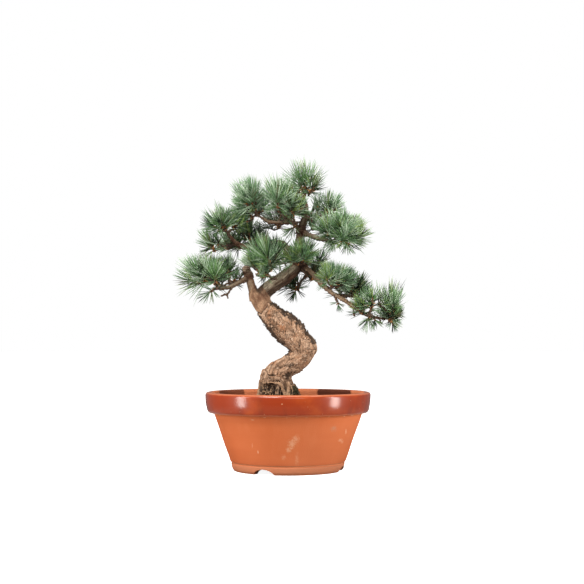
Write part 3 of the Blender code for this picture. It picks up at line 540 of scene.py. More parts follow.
blotch = use(tree, mottle, Scale=9.0, Detail=3.0, Low=0.3, High=0.72)
clay = spotted(tree, layered(tree, CLAY, (blotch, 0.6, PALE_CLAY)),
               (7.0, 5.0, 9.0, 0.45, 0.85, 0.35, DEEP_CLAY),
               (60.0, 4.0, 0.16, 0.5, 0.8, 0.3, PALE_CLAY),
               (520.0, 2.0, 1.0, 0.62, 0.8, 0.35, PALE_CLAY))
clay = patched(tree, clay, SCUFFS, 0.7, 420.0, 0.9)
lime_line = band_at(tree, 0.0815, 0.0838, 0.0008, 0.003, 60.0)
lime_spots = use(tree, mottle, Scale=150.0, Detail=4.0, Low=0.55, High=0.75)
# Painted highlight: a pale line along the groove over the foot
groove, foot_rim = band_at(tree, 0.0118, 0.0142, 0.0008), band_at(tree, -0.01, 0.0118, 0.0008)
clay = layered(tree, clay, (lime_line, lime_spots, LIME), (groove, 0.4, LIME),
               (foot_rim, 0.45, GREY_RUB))
inner = layered(tree, clay, (in_range(tree, blotch, 0.0, 1.0, 0.75), 0.9, INNER_CLAY))
# The inner wall gets its two painted dark reflections
inner = patched(tree, inner, PAINTED_REFLECTION_PATCHES, 0.05, 60.0, 0.1)
print("scuffs on the wall:", len(SCUFFS))

# %% Add the glaze over the clay
GLAZE, BRIGHT_GLAZE, DARK_GLAZE = (0.245, 0.026, 0.002), (0.35, 0.052, 0.005), (0.10, 0.014, 0.003)
THIN_GLAZE, GLAZE_FOOT, GLAZE_RADIUS, PAST_THE_RIM = (0.52, 0.16, 0.07), 0.0838, 0.1105, 0.2
glaze = spotted(tree, GLAZE, (24.0, 4.0, 1.0, 0.45, 0.68, 1.0, BRIGHT_GLAZE),
                (60.0, 4.0, 0.3, 0.5, 0.75, 0.35, DARK_GLAZE))
chip = use(tree, patch, Centre=(-0.0078, -0.118, 0.1017), Size=(0.0011, 0.01, 0.0008), Ragged=0.1)
pits = reckon(tree, "MULTIPLY", use(tree, mottle, Scale=520.0, Detail=1.0, Low=0.77, High=0.79), 0.5)
glaze = blend(tree, reckon(tree, "MAXIMUM", chip, pits), glaze, LIME)

axes = node(tree, "ShaderNodeSeparateXYZ", {0: object_place(tree)}).outputs
flat = node(tree, "ShaderNodeCombineXYZ", {"X": axes["X"], "Y": axes["Y"]}).outputs[0]
radius = node(tree, "ShaderNodeVectorMath", {0: flat}, operation="LENGTH").outputs["Value"]
outside = reckon(tree, "DIVIDE", reckon(tree, "SUBTRACT", radius, GLAZE_RADIUS), 0.0012, True)
glazed = reckon(tree, "MULTIPLY", outside,
                band_at(tree, GLAZE_FOOT, PAST_THE_RIM, 0.0006, 0.0008, 45.0))
corner = band_at(tree, 0.0835, 0.0862, 0.0010, 0.003, 70.0)
lip = band_at(tree, 0.1108, PAST_THE_RIM, 0.0012, 0.0012, 90.0)
thin = reckon(tree, "MAXIMUM", reckon(tree, "MULTIPLY", corner, 0.55),
              reckon(tree, "MULTIPLY", lip, 0.65))
within = reckon(tree, "MULTIPLY", reckon(tree, "SUBTRACT", 1.0, outside),
                band_at(tree, GLAZE_FOOT, PAST_THE_RIM, 0.001))
colour = blend(tree, glazed, blend(tree, within, clay, inner),
               blend(tree, thin, glaze, THIN_GLAZE))
tree.links.new(colour, shader.inputs["Base Color"])
bare = reckon(tree, "SUBTRACT", 1.0, glazed)
tree.links.new(reckon(tree, "ADD", reckon(tree, "MULTIPLY", bare, 0.4), 0.45),
               shader.inputs["Roughness"])
coat = reckon(tree, "SUBTRACT", 1.0, reckon(tree, "MULTIPLY", thin, 0.5))
tree.links.new(reckon(tree, "MULTIPLY", glazed, coat), shader.inputs["Coat Weight"])
shader.inputs["Coat Roughness"].default_value = 0.16
shader.inputs["Coat IOR"].default_value = 1.38
shader.inputs["Specular IOR Level"].default_value = 0.15
bumps = roughened(tree, shader, {"Scale": 900.0, "Detail": 3.0},
                  {"Distance": 0.0004, "Strength": 0.6}, reckon(tree, "ADD", bare, 0.25))
tree.links.new(bumps, shader.inputs["Coat Normal"])
finished("pot_body", pot_mesh, pot_look, ["pot"], sharp=32)

# %% [markdown]
# ## The soil
#
# Bonsai grow in grit: hard clay granules, pumice and a little bark, heaped towards the
# trunk. The soil's body is a dome with the same low heaps as its solid, and the granules on it
# are copies of an uneven lump, joined into one mesh for each colour.

# %% Spin the soil's body
SOIL_TOP, SOIL_EDGE, SOIL_RADIUS = 106.0, 98.5, 106.0
SOIL_DOME = ((0.0, SOIL_TOP), (54.0, SOIL_TOP), (80.0, 103.2), (107.0, SOIL_EDGE))
HEAP_SPACING, HEAP_HEIGHT, HEAP_JITTER = 11.4, 1.9, 2.2
TRUNK_FOOT = (-12.5, 0.0, 43.0)
rng = np.random.default_rng(41)


def heaps(edge_radius):
    """Points over the dome, by turns the top of a low heap of grit and a hollow."""
    deal = random.Random(5)
    reach = math.ceil(edge_radius / HEAP_SPACING)
    points = []
    for column in range(-reach, reach + 1):
        for row in range(-reach, reach + 1):
            spot = Vector((column, row)) * HEAP_SPACING
            spot += Vector((deal.uniform(-1.0, 1.0), deal.uniform(-1.0, 1.0))) * HEAP_JITTER
            sunk = HEAP_HEIGHT * deal.uniform(0.6, 1.0) * ((column + row) % 2)
            from_foot = (spot - Vector(TRUNK_FOOT[:2])).length - TRUNK_FOOT[2]
            if spot.length > edge_radius - HEAP_SPACING / 2 or from_foot < -HEAP_SPACING:
                continue
            level = np.interp(spot.length, *zip(*SOIL_DOME))
            points.append((spot.x, spot.y, float(level) - (sunk if from_foot > 0 else 0.0)))
    return points


brim = [(SOIL_RADIUS * math.cos(k * math.tau / 32), SOIL_RADIUS * math.sin(k * math.tau / 32),
         SOIL_EDGE) for k in range(32)]
heaped = [Vector(p) for p in brim + heaps(SOIL_RADIUS)]
heap_faces = delaunay_2d_cdt([p.to_2d() for p in heaped], [], [], 0, 1e-6)[2]
heap_tree = BVHTree.FromPolygons(heaped, heap_faces)


def soil_level(x, y):
    """The height of the heaped soil at a place, all in mm."""
    found = heap_tree.ray_cast(Vector((x, y, 200.0)), Vector((0.0, 0.0, -1.0)))[0]
    return found.z if found else SOIL_EDGE


soil_profile = [(r, 105.0 - r * 0.02) for r in np.linspace(0.0, SOIL_RADIUS - 0.2, 40)]
soil_profile += [(105.4, 97.0), (98.4, 84.5), (74.6, 16.4), (0.0, 16.4)]
soil_bm = turned(soil_profile, 96, False)
for vert in soil_bm.verts:
    if vert.co.z > 0.100:
        vert.co.z = (soil_level(vert.co.x / MM, vert.co.y / MM) - 0.9) * MM
soil_look, tree, shader = new_material("damp_soil", 0.95, spots=(
    (0.022, 0.014, 0.009), (190.0, 5.0, 1.0, 0.35, 0.65, 1.0, (0.075, 0.048, 0.030))))
roughened(tree, shader, {"Scale": 520.0, "Detail": 4.0}, {"Distance": 0.001})
finished("soil_body", from_bmesh("soil_body", soil_bm), soil_look, ["soil"])

# %% Scatter the grit
GRAINS = 5200
lump_bm = bmesh.new()
bmesh.ops.create_icosphere(lump_bm, subdivisions=1, radius=1.0)
for vert in lump_bm.verts:
    vert.co *= rng.uniform(0.72, 1.1)
lump = shape_of(lump_bm)
spread = np.sqrt(rng.uniform(0.0, 1.0, GRAINS)) * (SOIL_RADIUS - 1.5)
bearing = rng.uniform(0.0, math.tau, GRAINS)
grain_size = rng.uniform(1.0, 2.1, GRAINS)
grain_flat = np.column_stack((spread * np.cos(bearing), spread * np.sin(bearing)))
grain_level = [soil_level(x, y) for x, y in grain_flat]
grain_places = np.column_stack((grain_flat, grain_level + rng.uniform(-1.3, -0.4, GRAINS)))
grain_frames = frames_along(rng.normal(size=(GRAINS, 3)))
grain_frames = grain_frames * (grain_size[:, None] * rng.uniform(0.7, 1.15, (GRAINS, 3)))[:, None]
GRIT = (("grit_brown", (0.20, 0.105, 0.055), 0.0, 0.38),
        ("grit_dark", (0.050, 0.035, 0.026), 0.38, 0.62),
        ("grit_tan", (0.42, 0.27, 0.16), 0.62, 0.86),
        ("grit_pumice", (0.55, 0.50, 0.43), 0.86, 1.0))
kind = rng.uniform(0.0, 1.0, GRAINS)
for name, colour, low, high in GRIT:
    chosen = (kind >= low) & (kind < high)
    finished(name, stamped(name, lump, grain_frames[chosen], grain_places[chosen]),
             new_material(name, 0.9, colour)[0], ["soil"])

# %% [markdown]
# ## The wood
#
# Trunk and boughs are one growing thing, so they get one skin. Each is drawn as circles
# along its middle line and bridged. A voxel remesh then fuses trunk, boughs, burls and
# roots, with soft joints and no seams. Sculpting by hand would also do, but circles from
# named sizes can be checked against the solids.

# %% The trunk's outline and the limbs' stations
TRUNK_OUTLINE = (
    (-46.0, 100.0, 21.0, 100.0),
    (-43.5, 116.0, 15.0, 115.0),
    (-41.7, 130.0, 8.5, 127.0),
    (-38.8, 141.5, 5.5, 134.5),
    (-26.2, 154.5, 12.5, 140.5),
    (-7.5, 164.5, 29.0, 151.5),
    (1.0, 171.5, 40.5, 170.0),
    (-1.0, 176.5, 42.0, 181.0),
    (-14.0, 187.8, 29.3, 199.1),
    (-32.0, 208.2, 14.8, 217.8),
    (-45.0, 227.5, -11.5, 235.5),
    (-53.5, 243.0, -24.0, 244.5),
    (-56.5, 253.0, -27.0, 254.0),
    (-52.0, 259.0, -34.0, 259.5),
)
TRUNK_DEPTH_SHARE, TRUNK_SWAY, TRUNK_SKIN_SIDES, LIMB_SKIN_SIDES = 0.94, 6.0, 32, 14
BURL_SHARE, TRUNK_VOXEL, BOUGH_VOXEL = 0.94, 0.85, 0.80
LIMBS = {
    "left_limb": ((-48.0, 0.0, 246.0, 8.5), (-51.0, 0.0, 260.0, 7.0), (-57.0, -2.0, 280.0, 5.6)),
    "leader": ((-42.0, 0.0, 245.0, 12.5), (-31.0, 0.0, 261.0, 11.2), (-7.3, 0.0, 278.0, 10.5),
               (19.0, 0.0, 298.5, 8.6)),
    "upper_leader": ((18.5, 0.5, 299.0, 7.0), (15.5, 3.5, 318.0, 6.4), (19.0, 5.0, 347.8, 6.2),
                     (26.6, 2.0, 378.0, 3.9), (22.0, 1.0, 396.0, 3.2), (24.5, 0.0, 402.0, 2.8)),
    "low_left_bough": ((-57.0, -2.0, 279.5, 5.0), (-72.0, -9.0, 271.5, 4.2),
                       (-84.0, -14.5, 265.0, 3.5), (-99.0, -21.0, 262.5, 2.8)),
    "mid_left_bough": ((16.0, 3.0, 300.0, 6.0), (2.0, 11.0, 318.0, 5.8),
                       (-11.0, 14.0, 329.5, 5.8), (-38.4, 18.0, 326.0, 5.0),
                       (-63.0, 12.0, 324.5, 4.4), (-78.0, 5.0, 332.0, 3.6),
                       (-86.0, -1.0, 341.0, 3.0)),
    "upper_left_bough": ((19.0, 4.5, 348.0, 5.0), (8.0, -5.0, 357.5, 3.8),
                         (-6.0, -9.0, 359.0, 3.3), (-27.0, -12.0, 360.0, 3.0),
                         (-43.0, -14.5, 369.0, 2.6)),
    "upper_right_bough": ((19.0, 4.5, 347.8, 5.0), (30.0, -4.0, 341.5, 4.4),
                          (45.0, -10.0, 335.5, 3.8), (64.0, -16.0, 332.0, 3.2)),
    "right_bough": ((19.0, -1.0, 297.5, 5.6), (33.4, -7.0, 286.4, 5.0), (50.0, -14.0, 268.5, 4.3),
                    (66.0, -18.0, 254.5, 3.9), (81.5, -20.0, 245.4, 3.6),
                    (112.6, -17.0, 225.0, 3.0), (138.0, -12.0, 219.5, 2.5)),
    "low_back_bough": ((19.0, 0.0, 299.0, 6.0), (21.0, 22.0, 301.5, 5.0),
                       (16.0, 56.0, 303.0, 3.6)),
    "upper_back_bough": ((19.0, 5.0, 348.0, 5.0), (18.0, 20.0, 351.0, 4.2),
                         (13.0, 40.0, 356.0, 3.2)),
}
BURLS = (("left_limb", -57.0, -2.0, 281.5, 7.4), ("left_limb", -60.5, -3.0, 290.0, 6.4),
         ("leader", 18.5, 0.0, 298.5, 10.6),
         ("upper_leader", 19.0, 5.0, 347.8, 8.6))
# Roots at the trunk's foot: stations x, y, z, radius
ROOTS = (
    ((-36.0, -19.0, 126.0, 1.8), (-24.0, -26.0, 128.0, 2.0), (-13.5, -28.5, 126.5, 2.2),
     (-8.5, -29.5, 121.0, 2.3), (-5.5, -30.0, 112.0, 2.6), (-3.5, -32.0, 102.0, 2.8)),
    ((-1.0, -23.5, 128.0, 3.2), (1.0, -26.0, 119.0, 3.2), (0.5, -28.0, 110.0, 3.4),
     (4.0, -33.0, 101.0, 2.8)),
    ((-37.5, -6.0, 127.0, 4.4), (-39.5, -9.0, 117.0, 4.2), (-42.0, -12.0, 108.0, 4.0),
     (-50.0, -20.0, 100.0, 2.6)),
    ((2.5, 0.0, 124.0, 4.4), (6.5, 2.0, 114.0, 4.4), (13.0, 5.0, 106.0, 3.4),
     (30.0, 10.0, 101.0, 2.4)),
    ((-10.0, 22.0, 126.0, 5.0), (-8.0, 30.0, 114.0, 4.6), (-4.0, 42.0, 106.0, 3.4),
     (2.0, 56.0, 101.0, 2.4)),
    ((-30.0, 16.0, 126.0, 5.0), (-34.0, 21.0, 114.0, 4.6), (-44.0, 31.0, 105.5, 3.2),
     (-58.0, 38.0, 101.0, 2.4)),
)

# %% Draw every skin as bridged circles


def add_skin(bm, centres, frames, sizes, sides):
    """Bridged circles, one at each centre, as a closed skin."""
    loops = []
    for centre, axes, size in zip(centres, frames, sizes):
        turn = Matrix([list(row) for row in axes]).to_4x4()
        matrix = Matrix.Translation(centre) @ turn @ Matrix.Diagonal((*size, 1.0, 1.0))
        made = bmesh.ops.create_circle(bm, cap_ends=False, segments=sides, radius=1.0,
                                       matrix=matrix)
        loops.append([e for v in made["verts"] for e in v.link_edges if e.verts[0] is v])
    for lower, upper in zip(loops, loops[1:]):
        bmesh.ops.bridge_loops(bm, edges=lower + upper)
    bmesh.ops.holes_fill(bm, edges=[*loops[0], *loops[-1]], sides=0)


outline = curve_through(TRUNK_OUTLINE, 6)
share = np.linspace(0.0, 1.0, len(outline))
trunk_line = np.column_stack(((outline[:, 0] + outline[:, 2]) / 2,
                              -TRUNK_SWAY * np.sin(math.pi * share),
                              (outline[:, 1] + outline[:, 3]) / 2))
across = np.column_stack((outline[:, 2] - outline[:, 0], np.zeros(len(outline)),
                          outline[:, 3] - outline[:, 1]))
trunk_half = np.linalg.norm(across, axis=1) / 2
across = unit(across)
into = np.tile((0.0, 1.0, 0.0), (len(outline), 1))
trunk_frames = np.stack((across, into, np.cross(across, into)), axis=-1)
def path_of(stations, steps=5):
    """The middle line through a limb's stations, its frames and its radii."""
    rows = curve_through(stations, steps)
    return rows[:, :3], frames_along(np.gradient(rows[:, :3], axis=0)), rows[:, 3]

PATHS = {"trunk": (trunk_line, trunk_frames, trunk_half)}
for name, stations in LIMBS.items():
    PATHS[name] = path_of(stations)
for number, stations in enumerate(ROOTS, 1):
    PATHS[f"root_{number}"] = path_of(stations)
OLD_WOOD = [n for n in PATHS if "bough" not in n]
BOUGHS = [n for n in PATHS if "bough" in n]


def fused(name, limbs, burls, voxel):
    """The skins of the named limbs and burls, remeshed into one closed skin."""
    bm = bmesh.new()
    for limb in limbs:
        line, turns, radii = PATHS[limb]
        old_trunk = limb == "trunk"
        depths = radii * (TRUNK_DEPTH_SHARE if old_trunk else 1.0)
        add_skin(bm, line, turns, np.column_stack((radii, depths)),
                 TRUNK_SKIN_SIDES if old_trunk else LIMB_SKIN_SIDES)
    for _, x, y, z, radius in burls:
        bmesh.ops.create_icosphere(bm, subdivisions=3, radius=radius * BURL_SHARE,
                                   matrix=Matrix.Translation((x, y, z)))
    bmesh.ops.scale(bm, vec=(MM, MM, MM), verts=bm.verts)
    bmesh.ops.recalc_face_normals(bm, faces=bm.faces)
    mesh = evaluated(name, from_bmesh(name, bm),
                     ("REMESH", {"mode": "VOXEL", "voxel_size": voxel * MM}),
                     ("SMOOTH", {"factor": 0.5, "iterations": 3}))
    print(name, len(mesh.vertices), "points")
    return mesh


bark_skins = {"trunk_skin": fused("trunk_skin", OLD_WOOD, BURLS, TRUNK_VOXEL),
              "bough_skin": fused("bough_skin", BOUGHS, (), BOUGH_VOXEL)}

# %% [markdown]
# ## Bark relief
#
# Old pine bark breaks into plates: thick scales, longer than they are wide, each tilted a
# little over the next, with dark cracks between. Cell noise gives that: every point belongs
# to the nearest of many scattered seeds, and the crack is where two seeds are equally near.
# It is worked out on coordinates that run along each limb, so the plates follow its bends.
# The relief is real: the points of the mesh move, and the same numbers are kept as
# attributes, so that the paint lands in the cracks.

# %% Coordinates that run along each limb
names = list(PATHS)
limb_lines, limb_turns, limb_radii = zip(*PATHS.values())
line_rows, line_frames = np.vstack(limb_lines), np.concatenate(limb_turns)
line_radius = np.concatenate(limb_radii)
line_along = np.concatenate([
    (0.0, *np.cumsum(np.linalg.norm(np.diff(line, axis=0), axis=1))) for line in limb_lines])
line_owner = np.repeat(np.arange(len(names)), [len(line) for line in limb_lines])
NEAREST_BLOCK = 4000


def points_of(mesh, key="co"):
    """The places of a mesh's points, or their normals, as an array."""
    values = np.empty(len(mesh.vertices) * 3, np.float32)
    mesh.vertices.foreach_get(key, values)
    return values.reshape(-1, 3).astype(float)


skin = np.vstack([points_of(m) for m in bark_skins.values()]) / MM
normals = np.vstack([points_of(m, "normal") for m in bark_skins.values()])
count = len(skin)
first_bough = len(bark_skins["trunk_skin"].vertices)
allowed = np.isin(line_owner, [names.index(n) for n in BOUGHS])
nearest = np.empty(count, int)
for start in range(0, count, NEAREST_BLOCK):
    block = slice(start, min(start + NEAREST_BLOCK, count))
    far = np.linalg.norm(skin[block, None] - line_rows[None], axis=2) - line_radius
    on_bough = (np.arange(count)[block] >= first_bough)[:, None]
    nearest[block] = np.where(on_bough == allowed[None], far, 1e6).argmin(axis=1)
straight = np.einsum("ni,nij->nj", skin - line_rows[nearest], line_frames[nearest])
straight[:, 2] += line_along[nearest]
owner = line_owner[nearest]
local_radius = line_radius[nearest]
print("limbs found on the skin:", len(set(owner)), "of", len(PATHS))

# %% Cell noise and soft noise on arrays


def scramble(cells, seed):
    """Three numbers from 0 to 1 for each cell of a grid, always the same."""
    base = cells @ np.array([127.1, 311.7, 74.7]) + seed * 19.19
    return np.column_stack([np.modf(np.abs(np.sin(base + k * 7.77) * 43758.5453))[0]
                            for k in range(3)])


def cell_noise(points, seed):
    """Crack width, the plate's own number and the way from its seed, for each point."""
    corner = np.floor(points)
    first = np.full(len(points), 9.0)
    second, own, away = first.copy(), first.copy(), np.zeros_like(points)
    for step in np.ndindex(3, 3, 3):
        cell = corner + np.array(step) - 1
        chance = scramble(cell, seed)
        gap = points - cell - chance
        reach = np.linalg.norm(gap, axis=1)
        closer = reach < first
        second = np.where(closer, first, np.minimum(second, reach))
        first = np.where(closer, reach, first)
        own = np.where(closer, chance[:, 1] * 0.5 + chance[:, 2] * 0.5, own)
        away[closer] = gap[closer]
    return second - first, own, away


def soft_noise(points, seed):
    """Smooth noise from about -1 to 1, from the eight corners of each cell."""
    corner = np.floor(points)
    part = points - corner
    part = part * part * (3 - 2 * part)
    total = np.zeros(len(points))
    for step in np.ndindex(2, 2, 2):
        weight = np.prod(np.where(np.array(step), part, 1 - part), axis=1)
        total += weight * (scramble(corner + step, seed)[:, 0] * 2 - 1)
    return total


def ramp(values, low, high):
    """From 0 at low to 1 at high, with soft ends."""
    share = np.clip((values - low) / (high - low), 0.0, 1.0)
    return share * share * (3 - 2 * share)


def spot_at(centre, size, low, high, ragged=0.0, grain=1.0, seed=0):
    """1 inside an ellipsoid on the skin and 0 past it, with an edge that may be ragged."""
    away = np.linalg.norm((skin - centre) / size, axis=1)
    if ragged:
        away += ragged * soft_noise(skin / grain, seed)
    return 1 - ramp(away, low, high)


# %% Work out plates, cracks, burls and roots
is_trunk = owner == names.index("trunk")
is_root = owner >= names.index("root_1")
is_bough = np.arange(count) >= first_bough

# Old bark ends below the neck at a seam that dips and rises as it crosses the trunk
SEAM_ACROSS = (-60.0, -48.0, -38.9, -29.6, -24.0, -14.0)
SEAM_LEVEL = (234.0, 230.6, 226.3, 238.2, 243.7, 262.0)
seam = np.interp(skin[:, 0], SEAM_ACROSS, SEAM_LEVEL) + soft_noise(skin / 5, 5) * 1.2
past_seam = seam - skin[:, 2]
old = ramp(past_seam, -0.4, 0.8) * (is_trunk | is_root)
seam_line = (1 - ramp(np.abs(past_seam), 0.3, 1.3)) * is_trunk

warp = np.column_stack([soft_noise(straight / (8, 8, 14), 20 + k) for k in range(3)]) * 0.5
gap_wide, plate_own, plate_away = cell_noise(straight / (5.2, 5.2, 13.0) + warp, 3)
gap_fine, flake_own, flake_away = cell_noise(straight / (2.4, 2.4, 5.6) + warp * 2.2, 8)
open_crack = 0.08 + 0.17 * ramp(soft_noise(skin / 8, 61), -0.25, 0.55)
plate = ramp(gap_wide / open_crack, 0.2, 1.0)
flake = ramp(gap_fine, 0.0, 0.16)
strands = soft_noise(straight / (1.7, 1.7, 12.0), 71)
lumps = soft_noise(straight / (13, 13, 18), 31)
knobs = cell_noise(skin / 3.6, 12)
burl = np.zeros(count)
for _, x, y, z, radius in BURLS:
    burl = np.maximum(burl, spot_at((x, y, z), radius, 0.85, 1.3))

# The solid's main plates: its ring and side under each point of the trunk's skin
deal = random.Random(3)
RINGS, SIDES, PLATE_HEIGHT = 2 * (len(TRUNK_OUTLINE) - 1) + 1, 16, 1.3
RING_POINTS, FIRST_PLATED, LAST_PLATED = 3.0, 2, 20
main_plates = np.array([[(0.5 if (ring + side) % 2 else -0.5) * deal.uniform(0.6, 1.0)
                         * (FIRST_PLATED <= ring <= LAST_PLATED) for side in range(SIDES)]
                        for ring in range(RINGS)])
spacing = np.gradient(line_along[:len(outline)])
ring_at = nearest + (straight[:, 2] - line_along[nearest]) \
    / spacing[np.minimum(nearest, len(outline) - 1)]
ring_at = ring_at / RING_POINTS
ring_at = np.clip(ring_at, 0.0, RINGS - 1.001)
angle = np.arctan2(straight[:, 1], straight[:, 0])
side_at = ((angle - math.pi / 2) / math.tau * SIDES) % SIDES
ring_low, side_low = ring_at.astype(int), side_at.astype(int) % SIDES
ring_part, side_part = (p * p * (3 - 2 * p) for p in (ring_at - ring_low, side_at % 1.0))
side_high = (side_low + 1) % SIDES
main_plate = PLATE_HEIGHT * (
    (main_plates[ring_low, side_low] * (1 - side_part)
     + main_plates[ring_low, side_high] * side_part) * (1 - ring_part)
    + (main_plates[ring_low + 1, side_low] * (1 - side_part)
       + main_plates[ring_low + 1, side_high] * side_part) * ring_part)

# The second bend has rubbed itself smoother
smooth = spot_at((22.0, -15.0, 160.0), (24.0, 30.0, 20.0), 0.5, 1.0)
on_leader = owner == names.index("leader")
age = np.where(is_trunk, np.maximum(old * (1 - 0.4 * smooth), 0.36),
               np.clip(local_radius / 24, 0.10, 0.40))
age = np.where(is_root, 0.45, np.where(on_leader, 0.55, age))
rise = age * (1.9 * plate * (0.15 + 0.85 * plate_own) + 1.7 * plate * plate_away[:, 2]
              + 0.8 * plate * plate_away[:, 0] + 0.6 * flake * (0.2 + flake_own)
              + 0.3 * strands - 1.6)
rise += np.where(is_trunk, main_plate, lumps * 0.45)
rise += burl * (ramp(knobs[0], 0.0, 0.4) * (0.6 + 2.8 * knobs[1]) + 0.7 * soft_noise(skin / 1.5, 13)
                - 1.1)
rise -= seam_line * 0.7
scars = ramp(np.sin(straight[:, 2] * 1.3 + 3 * lumps), 0.4, 1.0)
rise += np.where(is_bough, 0.6 * scars + 0.75 * soft_noise(skin / 2.8, 77)
                 + 0.3 * soft_noise(skin / 1.3, 78) - 0.55, 0.0)
ROOT_LOBES, LOBE_SWELL, LOBE_REACH = 5, 1.4, 12.0
fade = np.exp(-np.maximum(0.0, skin[:, 2] - SOIL_TOP) / LOBE_REACH)
rise += is_trunk * fade * LOBE_SWELL * np.cos(ROOT_LOBES * angle)

# Each hollow or fold: its centre, then half its width, depth and height
HOLLOWS = ((-25.0, -25.0, 116.0, 11.5, 12.0, 9.5), (-33.0, -19.0, 112.0, 5.0, 9.0, 6.5),
           (-10.5, -27.0, 114.0, 2.6, 9.0, 6.5), (7.5, -22.0, 121.0, 3.4, 6.0, 2.6),
           (-19.0, -28.0, 129.5, 11.0, 9.0, 1.5), (-24.0, -28.0, 138.5, 9.0, 9.0, 1.1))
HOLLOW_DEPTH = 4.5
hollow = is_trunk * np.maximum.reduce([
    spot_at(row[:3], row[3:], 0.7, 1.05, 0.2, 3.0, 81) for row in HOLLOWS])
rise -= hollow * HOLLOW_DEPTH
moss = spot_at((8.5, -16.0, 114.5), (8.5, 11.0, 9.5), 0.6, 1.1, 0.35, 2.5, 83)
rise += moss * 2.0 * soft_noise(skin / 1.8, 84)

# %% Ragged edges run down the trunk's outer bends, lifted and painted dark as shade
upper_right = (normals[:, 0] > 0) & (skin[:, 2] > 183)
lower_left = (normals[:, 0] < 0) & (skin[:, 2] > 166) & (skin[:, 2] < 228)
edge = 1 - ramp(np.abs(normals[:, 1]), 0.2, np.where(upper_right, 1.0, 0.75))
edge += 0.75 * (plate_own - 0.5) + 0.3 * soft_noise(straight / (3, 3, 5), 44)
edge = ramp(edge, 0.42, 0.54)
edge *= (upper_right | lower_left) * old
rise += edge * (2.2 * plate_own + 0.8 * flake_own - 0.9)
# Painted shade in the crotch; the scar below is a dark rough spot
crotch = spot_at((-41.0, -6.0, 264.0), (8.0, 14.0, 12.0), 0.4, 1.1)
scar = spot_at((0.5, -20.0, 136.5), (6.0, 9.0, 6.5), 0.6, 1.1, 0.3, 2.5, 85)
rise += scar * 1.5 * soft_noise(skin / 2.0, 86)

# %% Move the points out and keep the masks
skin = skin + normals * rise[:, None]
# Painted shade: the bark darkens in blotches towards the foot, and a little up to the first bend
foot_shade = 0.88 * (1 - ramp(skin[:, 2], 116, 140)) * ramp(soft_noise(skin / 3.5, 96), -0.9, 0.1)
foot_shade += 0.13 * (1 - ramp(skin[:, 2], 150, 190)) * (1 - foot_shade)
streak = ramp(soft_noise(straight / (1.6, 1.6, 8.0), 53), -0.5, 0.5)
# Painted shade in streaks on the leader's underside, the side that faces down
under = ramp(normals @ np.array((0.5, -0.2, -0.85)), 0.0, 0.6) * on_leader * (0.25 + 0.5 * streak)
# Painted shade on the edges, hollow, crotch, underside and foot, with the bark's own dark seam and
# scar
shade_and_dark_marks = np.maximum.reduce([edge * (0.72 + 0.25 * flake_own), hollow * 0.95, crotch * 0.8,
                          scar * 0.85, seam_line * 0.8, foot_shade * is_trunk, under])
top_knob = ramp(skin[:, 2], 284.0, 289.0) * (owner == names.index("left_limb"))
top_knob *= 0.5 + 0.5 * np.sin(skin[:, 2] * 1.9 + soft_noise(skin / 4, 95) * 2.0)
# Painted light, partly lichen: a pale grey on the side of the leader and boughs that faces the key
# light
lit_top = ramp(normals @ np.array((-0.45, -0.5, 0.74)), 0.1, 0.6)
lit_top *= ramp(soft_noise(straight / (1.8, 1.8, 9.0), 51), -0.8, 0.3)
lichen_and_light = lit_top * np.where(on_leader, 1.0, 0.3) * ~is_trunk * ~is_root
# The cracks are painted near black: partly the dark inner bark, partly painted shade
crack = np.clip(1.05 - (0.70 * plate + 0.45 * flake), 0, 1) * np.clip(age * 1.4, 0.35, 1.0)
DULLNESS = {"trunk": 0.0, "left_limb": 0.35, "right_bough": 0.45, "leader": 0.85}
dull = np.array([DULLNESS.get(n, 0.95) for n in names])[owner]
dull = np.where(is_bough | is_root, dull, dull * ramp(straight[:, 2], 0.0, 16.0))
MASKS = {"crack": crack, "tone": 0.55 * plate_own + 0.45 * flake_own, "old": old,
         "burl": burl * (1 - top_knob), "knob": top_knob,
         "shade_and_dark_marks": shade_and_dark_marks, "lichen_and_light": lichen_and_light, "dull": dull * ~is_root, "moss": moss,
         "root": is_root * (1 - ramp(skin[:, 2], 126, 134)),
         "pale": ramp(soft_noise(skin / 14, 91) + 0.35 * soft_noise(skin / 4, 92), -0.1, 0.7)}
for (name, mesh), rows in zip(bark_skins.items(), (slice(0, first_bough),
                                                   slice(first_bough, count))):
    mesh.vertices.foreach_set("co", (skin[rows] * MM).astype(np.float32).ravel())
    for label, values in MASKS.items():
        attribute = mesh.attributes.new(label, "FLOAT", "POINT")
        attribute.data.foreach_set("value", values[rows].astype(np.float32))
    mesh.update()
print("relief from", round(rise.min(), 1), "to", round(rise.max(), 1), "mm")

# %% [markdown]
# ## Bark colours
#
# Old plates are tan to grey-brown, nearly white where they are fresh, and almost black in
# the cracks, partly with painted shade. Small nearly white spots are painted highlights.
# Above the seam at the neck the bark is young, smooth and reddish. A pale grey on the side
# that faces the key light is partly lichen, partly painted light. Old sap darkens the burls,
# and painted shade darkens the hollow among the roots, the crotch, the leader's underside,
# the trunk's outer edges and its foot.

